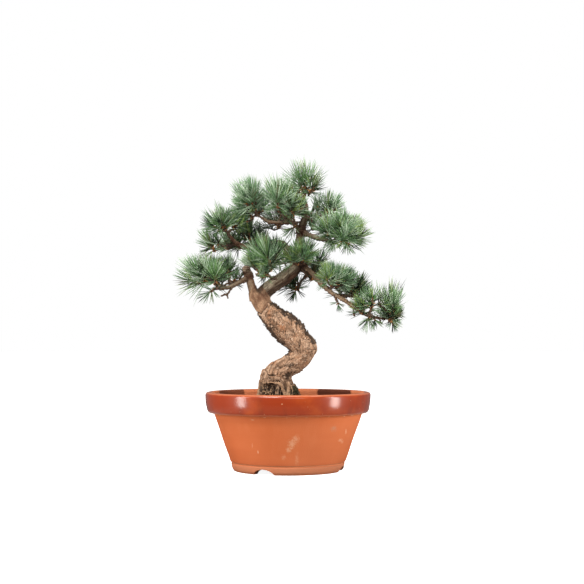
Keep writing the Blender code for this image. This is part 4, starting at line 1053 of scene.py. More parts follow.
# %% Paint the bark
OLD_BARK, PALE_PLATE, GREY_PLATE = (0.35, 0.200, 0.118), (0.68, 0.47, 0.33), (0.165, 0.10, 0.065)
NECK_BARK, NECK_RED = (0.37, 0.220, 0.130), (0.150, 0.072, 0.040)
LIMB_BARK, LIMB_RED = (0.100, 0.068, 0.045), (0.125, 0.055, 0.032)
CRACK, SHADE_AND_MARK_DARK, LICHEN_AND_LIGHT_GREY = (0.030, 0.015, 0.008), (0.022, 0.015, 0.011), (0.54, 0.46, 0.33)
MOSS, ROOT_BARK, RUST = (0.030, 0.028, 0.013), (0.30, 0.18, 0.10), (0.40, 0.155, 0.06)
BURL_BARK, KNOB_RING, PAINTED_GLINT = (0.075, 0.030, 0.018), (0.50, 0.40, 0.30), (0.80, 0.61, 0.47)
bark_look, tree, shader = new_material("pine_bark", 0.9)
tone = node(tree, "ShaderNodeAttribute", attribute_name="tone").outputs["Fac"]
pale = node(tree, "ShaderNodeAttribute", attribute_name="pale").outputs["Fac"]
fresh = reckon(tree, "MAXIMUM", reckon(tree, "MULTIPLY", in_range(tree, tone, 0.45, 0.85), 0.75),
               reckon(tree, "MULTIPLY", pale, 0.55))
old_colour = layered(tree, blend(tree, fresh, OLD_BARK, PALE_PLATE),
                     (in_range(tree, tone, 0.42, 0.2), 0.85, GREY_PLATE))
# The small nearly white spots are painted highlights on the plates
old_colour = spotted(tree, old_colour, (330.0, 2.0, 1.0, 0.60, 0.67, 0.55, PAINTED_GLINT),
                     (75.0, 5.0, 1.0, 0.55, 0.72, 0.6, RUST))
streaks = use(tree, mottle, Scale=110.0, Detail=5.0, Stretch=(1.0, 1.0, 0.5), Low=0.4, High=0.65)
young_colour = spotted(tree, blend(tree, streaks, NECK_BARK, NECK_RED),
                       (420.0, 2.0, 1.0, 0.58, 0.66, 0.6, LIMB_RED))
limb_colour = blend(tree, streaks, LIMB_BARK, LIMB_RED)
colour = layered(tree, young_colour, ("dull", 1.0, limb_colour), ("old", 1.0, old_colour),
                 ("root", 0.7, ROOT_BARK), ("lichen_and_light", 1.0, LICHEN_AND_LIGHT_GREY), ("burl", 0.85, BURL_BARK),
                 ("knob", 0.7, KNOB_RING))
colour = spotted(tree, colour, (480.0, 3.0, 1.0, 0.45, 0.75, 0.5, GREY_PLATE))
# Moss, then the painted shade with the dark seam and scar, then the cracks
colour = layered(tree, colour, ("moss", 1.0, MOSS), ("shade_and_dark_marks", 1.0, SHADE_AND_MARK_DARK), ("crack", 1.0, CRACK))
tree.links.new(colour, shader.inputs["Base Color"])
roughened(tree, shader, {"Scale": 700.0, "Detail": 5.0, "Roughness": 0.7},
          {"Distance": 0.0010, "Strength": 0.9})
shader.inputs["Specular IOR Level"].default_value = 0.25
finished("trunk_skin", bark_skins["trunk_skin"], bark_look,
         ["trunk", "left_limb", "leader", "upper_leader"])
finished("bough_skin", bark_skins["bough_skin"], bark_look, BOUGHS)

# %% [markdown]
# ## Lifted flakes
#
# The oldest plates have let go at one end and curl off the trunk, which gives its outline
# small teeth, painted dark as shade on the outer edges. Four bent scraps, each a solidified
# grid, are copied to points of the old bark, tipped up at one end.

# %% Make the scraps and lay them on the bark
FLAKES, EDGE_FLAKES, SCRAPS, SCRAP_THICKNESS = 330, 100, 4, 0.45
plain = np.flatnonzero((old > 0.9) & (hollow < 0.1) & (skin[:, 2] > 124) & is_trunk)
edges = np.flatnonzero(edge > 0.6)
picked = np.concatenate((rng.choice(plain, FLAKES - EDGE_FLAKES, replace=False),
                         rng.choice(edges, EDGE_FLAKES, replace=False)))
flat_out = normals[picked]
along = unit(line_frames[nearest[picked]][:, :, 2])
along = unit(along - flat_out * (along * flat_out).sum(axis=1, keepdims=True))
tip_up = np.where(edge[picked] > 0.5, 0.3, 0.06)[:, None] + rng.uniform(0.0, 0.25, (FLAKES, 1))
lean = unit(along + flat_out * tip_up)
upward = unit(np.cross(np.cross(lean, flat_out), lean))
sideways = np.cross(lean, upward)
flake_frames = np.stack((sideways, lean, upward), axis=-1)
flake_frames = flake_frames * np.column_stack((
    rng.uniform(1.1, 2.3, FLAKES), rng.uniform(1.9, 4.2, FLAKES), np.ones(FLAKES)))[:, None]
flake_places = skin[picked] - flat_out * 0.5
scraps = []
for _ in range(SCRAPS):
    scrap_bm = bmesh.new()
    bmesh.ops.create_grid(scrap_bm, x_segments=2, y_segments=3, size=1.0)
    for vert in scrap_bm.verts:
        rim = max(abs(vert.co.x), abs(vert.co.y)) > 0.9
        vert.co.x *= 1 + (rng.uniform(-0.35, 0.15) if rim else 0)
        vert.co.y *= 1 + (rng.uniform(-0.3, 0.15) if rim else 0)
        vert.co.z = -0.35 * vert.co.x ** 2 + 0.18 * vert.co.y ** 2 + rng.uniform(-0.1, 0.1)
    bmesh.ops.solidify(scrap_bm, geom=scrap_bm.faces[:], thickness=SCRAP_THICKNESS)
    bmesh.ops.recalc_face_normals(scrap_bm, faces=scrap_bm.faces)
    scraps.append(shape_of(scrap_bm))
# Flakes on the outer edges are painted dark as shade, and a few others are dark at random
dark = (edge[picked] > 0.3) & (rng.uniform(size=FLAKES) < 0.8)
dark |= rng.uniform(size=FLAKES) < 0.12
for name, colour, chosen in (("flakes_tan", (0.40, 0.245, 0.155), ~dark),
                             ("flakes_dark_and_shaded", (0.045, 0.029, 0.020), dark)):
    shade = tuple(part * 0.55 for part in colour)
    flake_look = new_material(name, 0.92, colour, (
        colour, (260.0, 3.0, 1.0, 0.4, 0.7, 1.0, shade)))[0]
    rows = np.flatnonzero(chosen)
    flake_bm = bmesh.new()
    for k in range(SCRAPS):
        flake_bm.from_mesh(stamped(name, scraps[k], flake_frames[rows[k::SCRAPS]],
                                   flake_places[rows[k::SCRAPS]]))
    finished(name, from_bmesh(name, flake_bm), flake_look, ["trunk"], sharp=40)

# %% [markdown]
# ## Rootlets and moss
#
# Under the arched root, washed-out rootlets hang in the hollow. At the trunk's right foot a
# cushion of dry, dark moss sits on the bark. Rootlets are thin tubes, and the moss is short
# blades that stand out of its lump.

# %% Grow the rootlets


def tube_arrays(line, radii, sides, first):
    """The points and triangles of one closed tube; first is its first point's number."""
    frames = frames_along(np.gradient(line, axis=0))
    turn = np.arange(sides) * math.tau / sides
    ring = np.stack((np.cos(turn), np.sin(turn)), axis=-1)
    points = line[:, None] + np.einsum("nij,kj->nki", frames[:, :, :2], ring) \
        * radii[:, None, None]
    corners = []
    for low in range(0, (len(line) - 1) * sides, sides):
        for k in range(sides):
            n = (k + 1) % sides
            corners += [(low + k, low + n, low + sides + n), (low + k, low + sides + n,
                                                              low + sides + k)]
    top = (len(line) - 1) * sides
    for k in range(1, sides - 1):
        corners += [(0, k + 1, k), (top, top + k, top + k + 1)]
    return points.reshape(-1, 3), np.array(corners) + first


def tubes(name, lines, sides):
    """Many tubes, each a line of points and their radii, as one mesh."""
    points, corners, first = [], [], 0
    for line, radii in lines:
        made, faces = tube_arrays(line, radii, sides, first)
        points.append(made)
        corners.append(faces)
        first += len(made)
    return joined_mesh(name, np.vstack(points), np.vstack(corners))


ROOTLETS = (
    ((-37.0, 124.0), (-35.0, 117.0), (-37.5, 109.0)), ((-33.0, 125.0), (-30.0, 118.0), (-33.0, 108.0)),
    ((-29.0, 125.5), (-29.5, 118.0), (-24.0, 108.0)), ((-24.0, 126.0), (-21.0, 119.0), (-22.5, 108.0)),
    ((-20.0, 125.5), (-24.0, 117.0), (-29.0, 109.0)), ((-16.0, 125.0), (-15.5, 117.0), (-18.0, 108.0)),
    ((-12.0, 124.0), (-17.0, 115.0), (-14.0, 107.0)), ((-35.0, 115.0), (-27.0, 113.0), (-19.0, 116.0)),
    ((-12.5, 119.0), (-10.5, 114.0), (-11.0, 107.0)), ((4.0, 124.0), (6.5, 116.0), (5.0, 107.0)),
)
strands_drawn = []
for stations in ROOTLETS:
    thick = rng.uniform(0.8, 1.5)
    rows = [(x, -(17.5 + 0.36 * (x + 37) if x < -12 else 27.5) - rng.uniform(-0.5, 1.0), z, thick)
            for x, z in stations]
    rows = curve_through(rows, 6)
    rows[:, :3] += rng.normal(0.0, 0.25, (len(rows), 3))
    strands_drawn.append((rows[:, :3], rows[:, 3] * rng.uniform(0.8, 1.15, len(rows))))
rootlet_look = new_material("rootlet_bark", 0.9, spots=(
    (0.34, 0.215, 0.12), (220.0, 4.0, 1.0, 0.4, 0.6, 1.0, (0.05, 0.030, 0.018))))[0]
finished("rootlets", tubes("rootlets", strands_drawn, 7), rootlet_look, ["trunk"])

# %% [markdown]
# ## Where the foliage grows
#
# The solids have 22 masses, each with one stem, a twig to each shoot, and a shoot that
# points its needles out on a golden spiral. The table below starts from the same shoots, with
# a few more between them, and so does the rule for the twigs. Here each shoot is then given
# side shoots that turn up like itself and end within the same reach, and each needle of the
# solids becomes many sheaths of five.

# %% List the masses and their shoots: x, y, z, lean to the right, lean to the back, reach
# Each mass: its limb, where its stem leaves it if not at the end, how full it is, where 1 is
# a close brush, and its shoots
FOLIAGE = {
    "low_left_mass": ("low_left_bough", None, 0.62, (
        (-116.5, -28.0, 271.5, -1.3, -0.25, 53.0), (-103.5, -46.0, 268.0, 0.0, -0.3, 40.0),
        (-107.5, -22.0, 261.0, -1.3, 0.05, -27.0), (-117.0, -30.0, 272.0, -0.5, -0.2, 46.0),
        (-104.0, -20.0, 275.0, -0.1, 0.0, 42.0))),
    "low_left_inner_mass": ("low_left_bough", (-80.0, -12.6, 267.0), 0.7, (
        (-84.5, -6.0, 284.0, -0.1, 0.1, 30.0), (-96.0, -10.0, 279.0, -0.3, 0.0, 36.0))),
    "low_left_back_mass": ("low_left_bough", (-70.5, -8.0, 272.3), 0.45, (
        (-79.0, 24.0, 272.0, 0.1, 0.5, 33.0), (-98.0, 22.0, 266.0, -0.7, 0.4, 34.0))),
    "mid_left_mass": ("mid_left_bough", None, 0.8, (
        (-90.9, -6.0, 349.2, -0.3, -0.15, 36.0), (-80.0, 14.0, 352.0, 0.25, 0.2, 32.0),
        (-93.0, -7.0, 348.0, -1.2, -0.1, 39.0))),
    "mid_left_low_mass": ("mid_left_bough", (-75.0, 6.6, 330.0), 0.75, (
        (-107.4, -2.0, 318.2, -0.45, -0.1, 38.0), (-89.0, 26.0, 324.0, -0.2, 0.5, 30.0))),
    "mid_back_mass": ("mid_left_bough", (-38.4, 18.0, 326.0), 0.95, (
        (-58.0, 46.0, 335.0, -0.1, 0.2, 40.0), (-74.0, 56.0, 326.0, -0.8, 0.5, 34.0),
        (-38.0, 66.0, 330.0, 0.2, 0.8, 36.0))),
    "upper_left_mass": ("upper_left_bough", None, 0.75, (
        (-48.5, -15.5, 377.5, -0.32, -0.1, 49.0), (-52.5, -8.0, 366.0, -1.5, 0.2, 38.0),
        (-51.0, -13.0, 378.0, -0.7, -0.1, 48.0), (-45.0, -9.0, 371.0, 0.3, 0.1, 36.0))),
    "upper_mid_mass": ("upper_left_bough", (-9.0, -9.5, 359.1), 0.95, (
        (-12.0, -20.0, 375.5, -0.2, -0.15, 55.0), (7.5, -15.0, 368.0, 0.05, -0.1, 46.0),
        (10.0, -10.0, 353.0, -1.4, -0.2, -19.0))),
    "top_mass": ("upper_leader", None, 0.42, (
        (25.7, 0.0, 407.5, 0.0, 0.0, 50.0), (31.0, -7.0, 402.0, 0.55, -0.3, 36.0),
        (18.0, 14.0, 401.0, -0.5, 0.8, 40.0), (22.0, -2.0, 405.0, -0.22, -0.1, 46.0))),
    "upper_right_back_mass": ("upper_leader", (23.6, 3.2, 366.0), 0.55, (
        (57.6, 25.0, 375.5, 0.1, 0.15, 36.0), (44.0, 34.0, 372.0, 0.0, 0.8, 36.0),
        (58.0, 21.0, 375.0, 0.75, 0.0, 38.0), (35.0, 14.0, 351.0, 0.25, 0.3, 26.0))),
    "right_mass": ("upper_right_bough", None, 0.95, (
        (72.2, -22.0, 335.0, -0.55, -0.15, 46.0), (81.0, -17.0, 336.0, 0.15, -0.05, 49.0),
        (88.0, -6.0, 333.0, 0.6, 0.1, 39.0), (80.0, -31.0, 331.5, 0.2, -1.6, 36.0),
        (68.0, -25.0, 333.0, -0.5, -0.2, -22.0), (84.0, -24.0, 331.0, 0.3, -0.2, -24.0))),
    "right_back_mass": ("upper_right_bough", (45.0, -10.0, 335.5), 0.55, (
        (62.0, 38.0, 345.0, -0.1, 0.25, 40.0), (86.0, 44.0, 340.0, 0.6, 0.5, 38.0))),
    "upper_back_mass": ("upper_back_bough", None, 0.75, (
        (6.0, 50.0, 372.0, -0.4, 0.3, 40.0), (27.0, 58.0, 366.0, 0.4, 0.6, 40.0),
        (-14.0, 56.0, 358.0, -0.9, 0.5, 38.0))),
    "low_back_mass": ("low_back_bough", None, 0.65, (
        (-6.0, 66.0, 306.0, -0.7, 0.4, 36.0), (20.0, 76.0, 307.0, 0.1, 0.9, 36.0),
        (44.0, 62.0, 298.0, 0.4, 0.6, 27.0))),
    "centre_left_mass": ("leader", (-13.0, 0.0, 273.9), 1.0, (
        (-25.0, -34.0, 288.0, -0.22, -0.12, 61.0), (-30.0, -28.0, 280.0, -1.3, -0.5, 40.0),
        (-33.0, -30.0, 287.0, -0.8, -0.15, 44.0))),
    "centre_right_mass": ("leader", (18.5, 0.0, 298.5), 1.0, (
        (22.5, -24.0, 301.0, 0.1, -0.1, 38.0), (13.0, -27.0, 297.0, -0.7, -0.7, 32.0))),
    "right_inner_mass": ("right_bough", (58.0, -16.2, 261.3), 0.95, (
        (61.9, -27.0, 267.5, 0.0, -0.15, 39.0), (71.0, -19.0, 266.0, 0.8, 0.1, 37.0))),
    "right_under_mass": ("right_bough", (67.5, -18.2, 253.4), 0.6, (
        (71.5, -19.5, 243.0, 0.3, 0.0, -14.0),)),
    "right_low_back_mass": ("right_bough", (75.0, -19.2, 249.0), 0.6, (
        (78.0, 26.0, 254.0, -0.1, 0.4, 38.0), (98.0, 20.0, 252.5, 0.3, 0.2, 37.0),
        (96.0, 2.0, 252.0, 0.45, -0.05, 38.0))),
    "right_outer_mass": ("right_bough", (112.6, -17.0, 225.0), 0.75, (
        (119.7, -27.0, 233.0, -0.2, -0.15, 36.0), (124.0, -30.0, 219.0, 0.0, -1.5, -20.0),
        (108.0, -20.0, 226.0, -0.3, -0.3, 25.0), (117.0, -22.0, 223.0, -0.4, -0.3, -22.0))),
    "right_tip_mass": ("right_bough", None, 0.8, (
        (145.5, -14.0, 224.5, 0.12, -0.1, 52.0), (147.0, -19.0, 216.5, 0.8, -0.5, 33.0),
        (146.0, -4.0, 221.0, 0.3, 0.9, 34.0), (149.0, -16.0, 216.0, 0.5, -0.1, -15.0))),
    "hanging_mass": ("leader", (18.5, 0.0, 298.5), 0.8, (
        (14.5, 18.0, 263.0, -0.8, 0.1, 34.0), (34.0, 16.0, 277.0, 0.6, 0.2, 32.0),
        (13.0, 15.0, 264.0, -0.6, 0.0, -20.0))),
}
# Open sky seen from the front: x from, x to, z from, z to
SKY = ((-33.0, -8.0, 341.0, 355.0), (62.0, 104.0, 303.0, 311.0), (29.5, 36.0, 377.0, 398.0),
       (-9.0, 4.0, 433.0, 452.0), (-98.0, -84.0, 386.0, 414.0), (86.0, 112.0, 374.0, 398.0))
CROWN_SIDES = (-165.5, 166.5)
# Wood that the front view shows bare: x from, x to, z from, z to, nearest y for a needle
BARE_WOOD = ((-66.0, -45.0, 240.0, 296.0, -2.0), (-45.0, -22.0, 240.0, 262.0, -2.0),
             (2.0, 26.0, 281.0, 299.0, -2.0))
CORE_SHARE = 0.3
print("masses:", len(FOLIAGE), "shoots:", sum(len(m[3]) for m in FOLIAGE.values()))

# %% Grow the twigs: every twig leaves the nearest wood before it
rng = np.random.default_rng(17)
STEM_LENGTH, FORK_LIMIT, STEM_RADIUS, TWIG_RADIUS, SIDE_SPACING = 5.0, 0.72, 1.9, 1.4, 14.0
twigs = []


def add_twig(a, b, thick, thin, lift=0.12):
    """A twig that leaves a and sags or lifts on its way to b, with uneven joints."""
    a, b = np.array(a, float), np.array(b, float)
    length = np.linalg.norm(b - a)
    share = np.linspace(0.0, 1.0, max(5, int(length / 2.5) + 2))[:, None]
    bow = np.array((0.0, 0.0, lift)) + rng.normal(0.0, 0.05, 3)
    crooked = rng.normal(0.0, min(0.7, length * 0.035), (len(share), 3))
    crooked[[0, -1]] = 0.0
    line = a + (b - a) * share + bow * length * 2 * share * (1 - share) + crooked
    swell = 1 + 0.45 * (rng.uniform(size=len(share)) < 0.3) + rng.uniform(-0.1, 0.1, len(share))
    twigs.append((line, np.interp(share[:, 0], (0, 1), (thick, thin)) * swell))


def shoot_axis(lean_x, lean_y, reach):
    return unit((lean_x, lean_y, 1.0 if reach > 0 else -1.0))


def side_shoots(foot, axis, reach, fullness):
    """Shoots that leave a shoot's foot, turn up like it and end within its reach."""
    size = abs(reach)
    turn = frames_along(axis)
    phase = rng.uniform(0.0, math.tau)
    for number in range(round(size / SIDE_SPACING * fullness) if reach > 0 else 0):
        around = phase + number * GOLDEN_ANGLE
        spread = math.radians(rng.uniform(35.0, 75.0))
        out = turn @ (math.sin(spread) * math.cos(around), math.sin(spread) * math.sin(around),
                      math.cos(spread))
        run = size * rng.uniform(0.16, 0.32)
        start = foot + axis * size * rng.uniform(-0.10, 0.08)
        end = start + out * run
        heading = unit(out * 0.55 + axis * 0.8 + rng.normal(0.0, 0.06, 3))
        add_twig(start, end, 1.2, 0.9, 0.0)
        yield end, heading, size - run * 0.7


shoots = []
centres = []
for mass, (limb, root, fullness, rows) in FOLIAGE.items():
    line, turns, radii = PATHS[limb]
    if root is None:
        start, ahead = line[-1] - turns[-1][:, 2] * 2.0, turns[-1][:, 2]
    else:
        start = np.array(root)
        feet_middle = np.mean([row[:3] for row in rows], axis=0)
        ahead = unit(feet_middle - start)
    fork = start + ahead * (STEM_LENGTH + (0.0 if root is None else 4.0))
    add_twig(start, fork, STEM_RADIUS * 1.15, STEM_RADIUS, 0.0)
    bars = []
    for row in sorted(rows, key=lambda r: np.linalg.norm(np.array(r[:3]) - fork)):
        foot = np.array(row[:3])
        best = fork
        for a, b in bars:
            part = np.clip((foot - a) @ (b - a) / ((b - a) @ (b - a)), 0.0, 1.0) * FORK_LIMIT
            near = a + (b - a) * part
            if np.linalg.norm(near - foot) < np.linalg.norm(best - foot):
                best = near
        bars.append((best, foot))
        add_twig(best, foot, STEM_RADIUS, TWIG_RADIUS)
    for x, y, z, lean_x, lean_y, reach in rows:
        foot, axis = np.array((x, y, z)), shoot_axis(lean_x, lean_y, reach)
        centres.append((mass, foot + axis * abs(reach) * CORE_SHARE * 0.7))
        shoots.append((mass, foot, axis, abs(reach), 1.0 if reach > 0 else 0.55))
        for end, heading, size in side_shoots(foot, axis, reach, fullness):
            shoots.append((mass, end, heading, size, 0.6))
for mass, foot, axis, size, vigour in shoots:
    add_twig(foot - axis, foot + axis * size * CORE_SHARE, 1.3 * vigour + 0.3, 0.8, 0.0)
# Bare twigs and snapped stubs, each from its root to its end
BARE_TWIGS = (
    ((94.0, -19.0, 238.0), (94.6, -19.0, 230.0)), ((94.6, -19.0, 230.0), (95.6, -19.5, 222.6)),
    ((-82.0, -15.0, 264.0), (-88.0, -19.0, 255.0)), ((-88.0, -19.0, 255.0), (-97.0, -22.0, 251.5)),
    ((-88.0, -19.0, 255.0), (-86.5, -19.0, 248.0)), ((128.0, -14.0, 222.0), (134.0, -15.0, 215.0)),
    ((20.0, -6.0, 292.0), (29.0, -12.0, 279.0)), ((-14.0, -10.0, 361.0), (-7.0, -11.0, 372.0)),
    ((4.0, -8.0, 360.0), (-3.0, -10.0, 368.5)), ((15.0, -2.0, 303.0), (7.0, -8.0, 309.0)),
)
for a, b in BARE_TWIGS:
    add_twig(a, b, 1.5, 0.9, 0.0)
print("shoots grown:", len(shoots), "twigs:", len(twigs))

# %% [markdown]
# ## Sheaths of five
#
# A white pine's needles come in fives from one papery sheath, and the sheaths sit round the
# shoot on a spiral: the lowest stand straight out, the top ones close into a brush. Each
# sheath is tested as in the solids: it keeps to its own mass's space, clear of the wood and
# of the open sky, is tried shorter if it doesn't fit, and is left out if it still doesn't.

# %% Set the sheaths round every shoot
SHEATHS_FULL, NEEDLE_LIMITS, NEEDLE_SHARE = 25, (24.0, 40.0), 0.78
LOWEST_TILT, TOP_TILT, OVERLAP, WOOD_CLEAR = 108.0, 4.0, -8.0, 0.6
centre_points = np.array([c for _, c in centres])
centre_owner = np.array([list(FOLIAGE).index(m) for m, _ in centres])
bars_from = np.vstack([PATHS[n][0][:-1] for n in ("trunk", *LIMBS)])
bars_to = np.vstack([PATHS[n][0][1:] for n in ("trunk", *LIMBS)])
bars_thick = np.concatenate([PATHS[n][2][:-1] for n in ("trunk", *LIMBS)])


def fits(points, mass):
    """For each sheath, whether its points (n, samples, 3) keep to their place."""
    flat = points.reshape(-1, 3)
    reach = np.linalg.norm(flat[:, None] - centre_points[None], axis=2)
    mine = centre_owner == mass
    kept = reach[:, ~mine].min(axis=1) - reach[:, mine].min(axis=1) > OVERLAP
    kept &= (flat[:, 0] > CROWN_SIDES[0]) & (flat[:, 0] < CROWN_SIDES[1])
    for left, right, low, high, front in (*((*box, math.inf) for box in SKY), *BARE_WOOD):
        kept &= ~((flat[:, 0] > left) & (flat[:, 0] < right) & (flat[:, 1] < front)
                  & (flat[:, 2] > low) & (flat[:, 2] < high))
    run = bars_to - bars_from
    part = np.clip(((flat[:, None] - bars_from) * run).sum(axis=2) / (run ** 2).sum(axis=1), 0, 1)
    gap = np.linalg.norm(flat[:, None] - bars_from - part[..., None] * run, axis=2) - bars_thick
    kept &= gap.min(axis=1) > WOOD_CLEAR
    return kept.reshape(points.shape[:2]).all(axis=1)


SAMPLES = np.array((0.35, 0.6, 0.8, 1.0))[None, :, None]
sheath_root, sheath_head, sheath_length, sheath_shoot = [], [], [], []
for number, (mass, foot, axis, size, vigour) in enumerate(shoots):
    sheaths = round(SHEATHS_FULL * vigour * FOLIAGE[mass][2] * (size / 40.0) ** 0.5)
    core = size * CORE_SHARE
    length = min(np.clip(size * NEEDLE_SHARE, *NEEDLE_LIMITS), size)
    share = (np.arange(sheaths) + rng.uniform(0.2, 0.8, sheaths)) / sheaths
    tilt = np.radians(LOWEST_TILT + (TOP_TILT - LOWEST_TILT) * share ** 0.7)
    tilt += rng.normal(0.0, 0.09, sheaths)
    around = rng.uniform(0.0, math.tau) + np.arange(sheaths) * GOLDEN_ANGLE
    out = np.column_stack((np.sin(tilt) * np.cos(around), np.sin(tilt) * np.sin(around),
                           np.cos(tilt)))
    heads = out @ frames_along(axis).T
    roots = foot + axis * core * (0.05 + 0.95 * share[:, None])
    lengths = length * rng.uniform(0.80, 1.06, sheaths)
    waiting = np.arange(sheaths)
    for trial in (1.0, 0.8, 0.62):
        points = roots[waiting, None] + heads[waiting, None] \
            * (lengths[waiting] * trial)[:, None, None] * SAMPLES
        good = fits(points, list(FOLIAGE).index(mass))
        taken = waiting[good]
        sheath_root.append(roots[taken])
        sheath_head.append(heads[taken])
        sheath_length.append(lengths[taken] * trial)
        sheath_shoot.append(np.full(len(taken), number))
        waiting = waiting[~good]
        if not len(waiting):
            break
sheath_root, sheath_head = np.vstack(sheath_root), np.vstack(sheath_head)
sheath_length, sheath_shoot = np.concatenate(sheath_length), np.concatenate(sheath_shoot)
print("sheaths:", len(sheath_root), "needles:", 5 * len(sheath_root))

# %% [markdown]
# ## Needles
#
# A needle is a slim three-sided spindle with a light curve. Particles or instances would be
# lighter to edit, but a joined mesh keeps the needles in every export. Their colours are
# plain, one to a piece, and dealt out by the sheath: fresh blue-green with pale lines on
# most, deep green and olive for the shaded and the old.

# %% Draw spindles as arrays


def spindles(name, roots, heads, bends, lengths, stations, radii):
    """Three-sided bars with a point, bent by a share of their length, as one mesh."""
    frames = frames_along(heads)
    rings = []
    for station, radius in zip(stations, radii):
        centre = roots + (heads * station + bends * station ** 2) * lengths[:, None]
        if radius:
            for corner in range(3):
                turn = math.tau / 3 * corner + 0.5
                rings.append(centre + frames[:, :, 0] * radius * math.cos(turn)
                             + frames[:, :, 1] * radius * math.sin(turn))
        else:
            rings.append(centre)
    points = np.stack(rings, axis=1)
    corners = [(0, 2, 1)]
    whole = sum(1 for radius in radii if radius)
    for ring in range(whole - 1):
        low, high = ring * 3, ring * 3 + 3
        for k in range(3):
            n = (k + 1) % 3
            corners += [(low + k, low + n, high + n), (low + k, high + n, high + k)]
    last = (whole - 1) * 3
    corners += [(last + k, last + (k + 1) % 3, last + 3) for k in range(3)]
    offsets = np.arange(len(roots))[:, None, None] * points.shape[1]
    return joined_mesh(name, points.reshape(-1, 3),
                       (np.array(corners)[None] + offsets).reshape(-1, 3))


# %% Give each sheath its five needles and its colour
TONES = (
    ("needles_blue_green", (0.115, 0.215, 0.105), 0.26),
    ("needles_mid_green", (0.095, 0.200, 0.060), 0.25),
    ("needles_deep_green", (0.010, 0.030, 0.009), 0.20),
    ("needles_frosted", (0.370, 0.490, 0.340), 0.10),
    ("needles_spring_green", (0.200, 0.300, 0.075), 0.11),
    ("needles_olive", (0.085, 0.090, 0.034), 0.08),
)
SHADED = ("low_left_back_mass", "mid_back_mass", "right_back_mass", "upper_back_mass",
          "low_back_mass", "right_low_back_mass", "hanging_mass")
SUNLIT = ("upper_left_mass", "right_inner_mass", "upper_right_back_mass")
SHADED_SHARES = (0.10, 0.14, 0.52, 0.02, 0.02, 0.20)
SUNLIT_SHARES = (0.46, 0.08, 0.0, 0.32, 0.14, 0.0)
FAVOURITE_SHARES = (0.36, 0.30, 0.04, 0.14, 0.12, 0.04)
NEEDLE_RADII = (0.32, 0.45, 0.38, 0.0)
NEEDLE_STATIONS = (0.0, 0.35, 0.75, 1.0)
MOST_NEEDLES, SHEATH_MOUTH = 12000, 1.2
DEEP_GREEN, FROSTED, FROSTED_CHANCE = 2, 3, 0.15
sheaths = len(sheath_root)
roots = np.repeat(sheath_root, 5, axis=0)
frames = frames_along(np.repeat(sheath_head, 5, axis=0))
around = np.tile(np.arange(5) * math.tau / 5, sheaths) + np.repeat(
    rng.uniform(0, math.tau, sheaths), 5)
splay = rng.uniform(0.05, 0.27, 5 * sheaths)
heads = unit(frames[:, :, 2] + (frames[:, :, 0] * np.cos(around)[:, None]
                                + frames[:, :, 1] * np.sin(around)[:, None]) * splay[:, None])
bends = rng.normal(0.0, 0.045, (5 * sheaths, 3)) + (0.0, 0.0, 0.03)
lengths = np.repeat(sheath_length, 5) * rng.uniform(0.88, 1.04, 5 * sheaths)
roots = roots + heads * SHEATH_MOUTH
favourite = rng.choice(len(TONES), len(shoots), p=FAVOURITE_SHARES)
sunlit = np.array([s[0] in SUNLIT for s in shoots])
favourite = np.where(sunlit, rng.choice(len(TONES), len(shoots), p=SUNLIT_SHARES), favourite)
dealt = rng.choice(len(TONES), sheaths, p=[t[2] for t in TONES])
keenness = np.where(sunlit[sheath_shoot], 0.75, 0.4)
dealt = np.where(rng.uniform(size=sheaths) < keenness, favourite[sheath_shoot], dealt)
shaded = np.array([s[0] in SHADED for s in shoots])[sheath_shoot]
dealt = np.where(shaded, rng.choice(len(TONES), sheaths, p=SHADED_SHARES), dealt)
needle_tone = np.repeat(dealt, 5)
lighter = rng.uniform(size=5 * sheaths)
lighter = (lighter < FROSTED_CHANCE) & (needle_tone != DEEP_GREEN) & ~np.repeat(shaded, 5)
needle_tone = np.where(lighter, FROSTED, needle_tone)
for number, (name, colour, _) in enumerate(TONES):
    needle_look = new_material(name, 0.55, colour)[0]
    chosen = np.flatnonzero(needle_tone == number)
    for batch, rows in enumerate(np.array_split(chosen, -(-len(chosen) // MOST_NEEDLES))):
        mesh = spindles(name, roots[rows], heads[rows], bends[rows], lengths[rows],
                        NEEDLE_STATIONS, NEEDLE_RADII)
        finished(f"{name}_{batch + 1}", mesh, needle_look, list(FOLIAGE))

# %% [markdown]
# ## Sheath scales and buds
#
# At the foot of every brush the real tree shows orange-brown: the papery scales that the
# needles came out of, and last year's bud scales in a collar below them. They are shorter,
# blunter spindles.

# %% Add the papery scales and the bud scales


def bristles(name, look, nodes, roots, heads, bends, lengths, radii, widest=0.5):
    """Short spindles as one finished piece."""
    mesh = spindles(name, roots, heads, bends, lengths, (0.0, widest, 1.0), radii)
    finished(name, mesh, look, nodes)


SCALE_LENGTH, THREADS, MOSS_BLADES = 4.2, 120, 900
kept = rng.uniform(size=sheaths) < 0.75
scale_look = new_material("papery_scales", 0.7, (0.30, 0.135, 0.045))[0]
bristles("sheath_scales", scale_look, list(FOLIAGE), sheath_root[kept],
         sheath_head[kept], np.zeros((kept.sum(), 3)), np.full(kept.sum(), SCALE_LENGTH),
         (0.7, 0.85, 0.0))

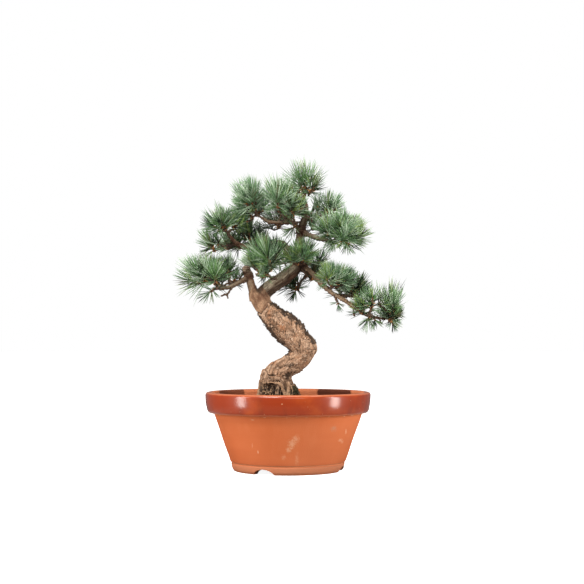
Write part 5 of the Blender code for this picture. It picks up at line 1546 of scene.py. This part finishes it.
# Dead scales and threads cling to the burl under the right bough
cling = rng.choice(np.flatnonzero((burl > 0.5) & (skin[:, 0] > -5)), THREADS)
cling_look = new_material("burl_threads", 0.8, (0.085, 0.036, 0.020))[0]
bristles("burl_threads", cling_look, ["leader"], skin[cling],
         unit(normals[cling] * 0.5 + rng.normal(0.0, 0.7, (THREADS, 3))),
         rng.normal(0.0, 0.3, (THREADS, 3)), rng.uniform(2.0, 5.5, THREADS), (0.5, 0.4, 0.0))

collar_root, collar_head = [], []
for mass, foot, axis, size, vigour in shoots:
    count = 14 if vigour == 1.0 else 2
    turn = rng.uniform(0, math.tau, count)
    tilt = np.radians(rng.uniform(25, 75, count))
    out = np.column_stack((np.sin(tilt) * np.cos(turn), np.sin(tilt) * np.sin(turn),
                           np.cos(tilt)))
    collar_root.append(foot + axis * rng.uniform(-2.5, size * 0.12, count)[:, None])
    collar_head.append(out @ frames_along(axis).T)
collar_root, collar_head = np.vstack(collar_root), np.vstack(collar_head)
bud_look = new_material("bud_scales", 0.75, (0.42, 0.185, 0.055))[0]
bristles("bud_scales", bud_look, list(FOLIAGE), collar_root, collar_head,
         np.zeros_like(collar_root), rng.uniform(3.5, 7.0, len(collar_root)), (0.6, 1.0, 0.0),
         0.45)

# %% Add the moss on the trunk's foot
mossy = np.flatnonzero((moss > 0.5) & (skin[:, 2] > 106))
mossy = rng.choice(mossy, MOSS_BLADES)
moss_head = unit(normals[mossy] + rng.normal(0.0, 0.45, (MOSS_BLADES, 3)))
moss_look = new_material("dry_moss", 0.9, spots=(
    (0.035, 0.034, 0.012), (200.0, 2.0, 1.0, 0.35, 0.65, 1.0, (0.085, 0.065, 0.028))))[0]
bristles("dry_moss", moss_look, ["trunk"], skin[mossy], moss_head,
         rng.normal(0.0, 0.25, (MOSS_BLADES, 3)), rng.uniform(1.4, 3.2, MOSS_BLADES),
         (0.3, 0.26, 0.0))

# %% [markdown]
# ## Twigs
#
# Twigs are short, crooked and knobby from the cushions of fallen needles. Each is a
# six-sided tube along its own bowed line, and all are joined.

# %% Join the twigs
twig_look = new_material("twig_bark", 0.85, spots=(
    (0.120, 0.068, 0.042), (260.0, 3.0, 1.0, 0.4, 0.65, 1.0, (0.036, 0.023, 0.016))))[0]
finished("twigs", tubes("twigs", twigs, 6), twig_look, list(FOLIAGE))
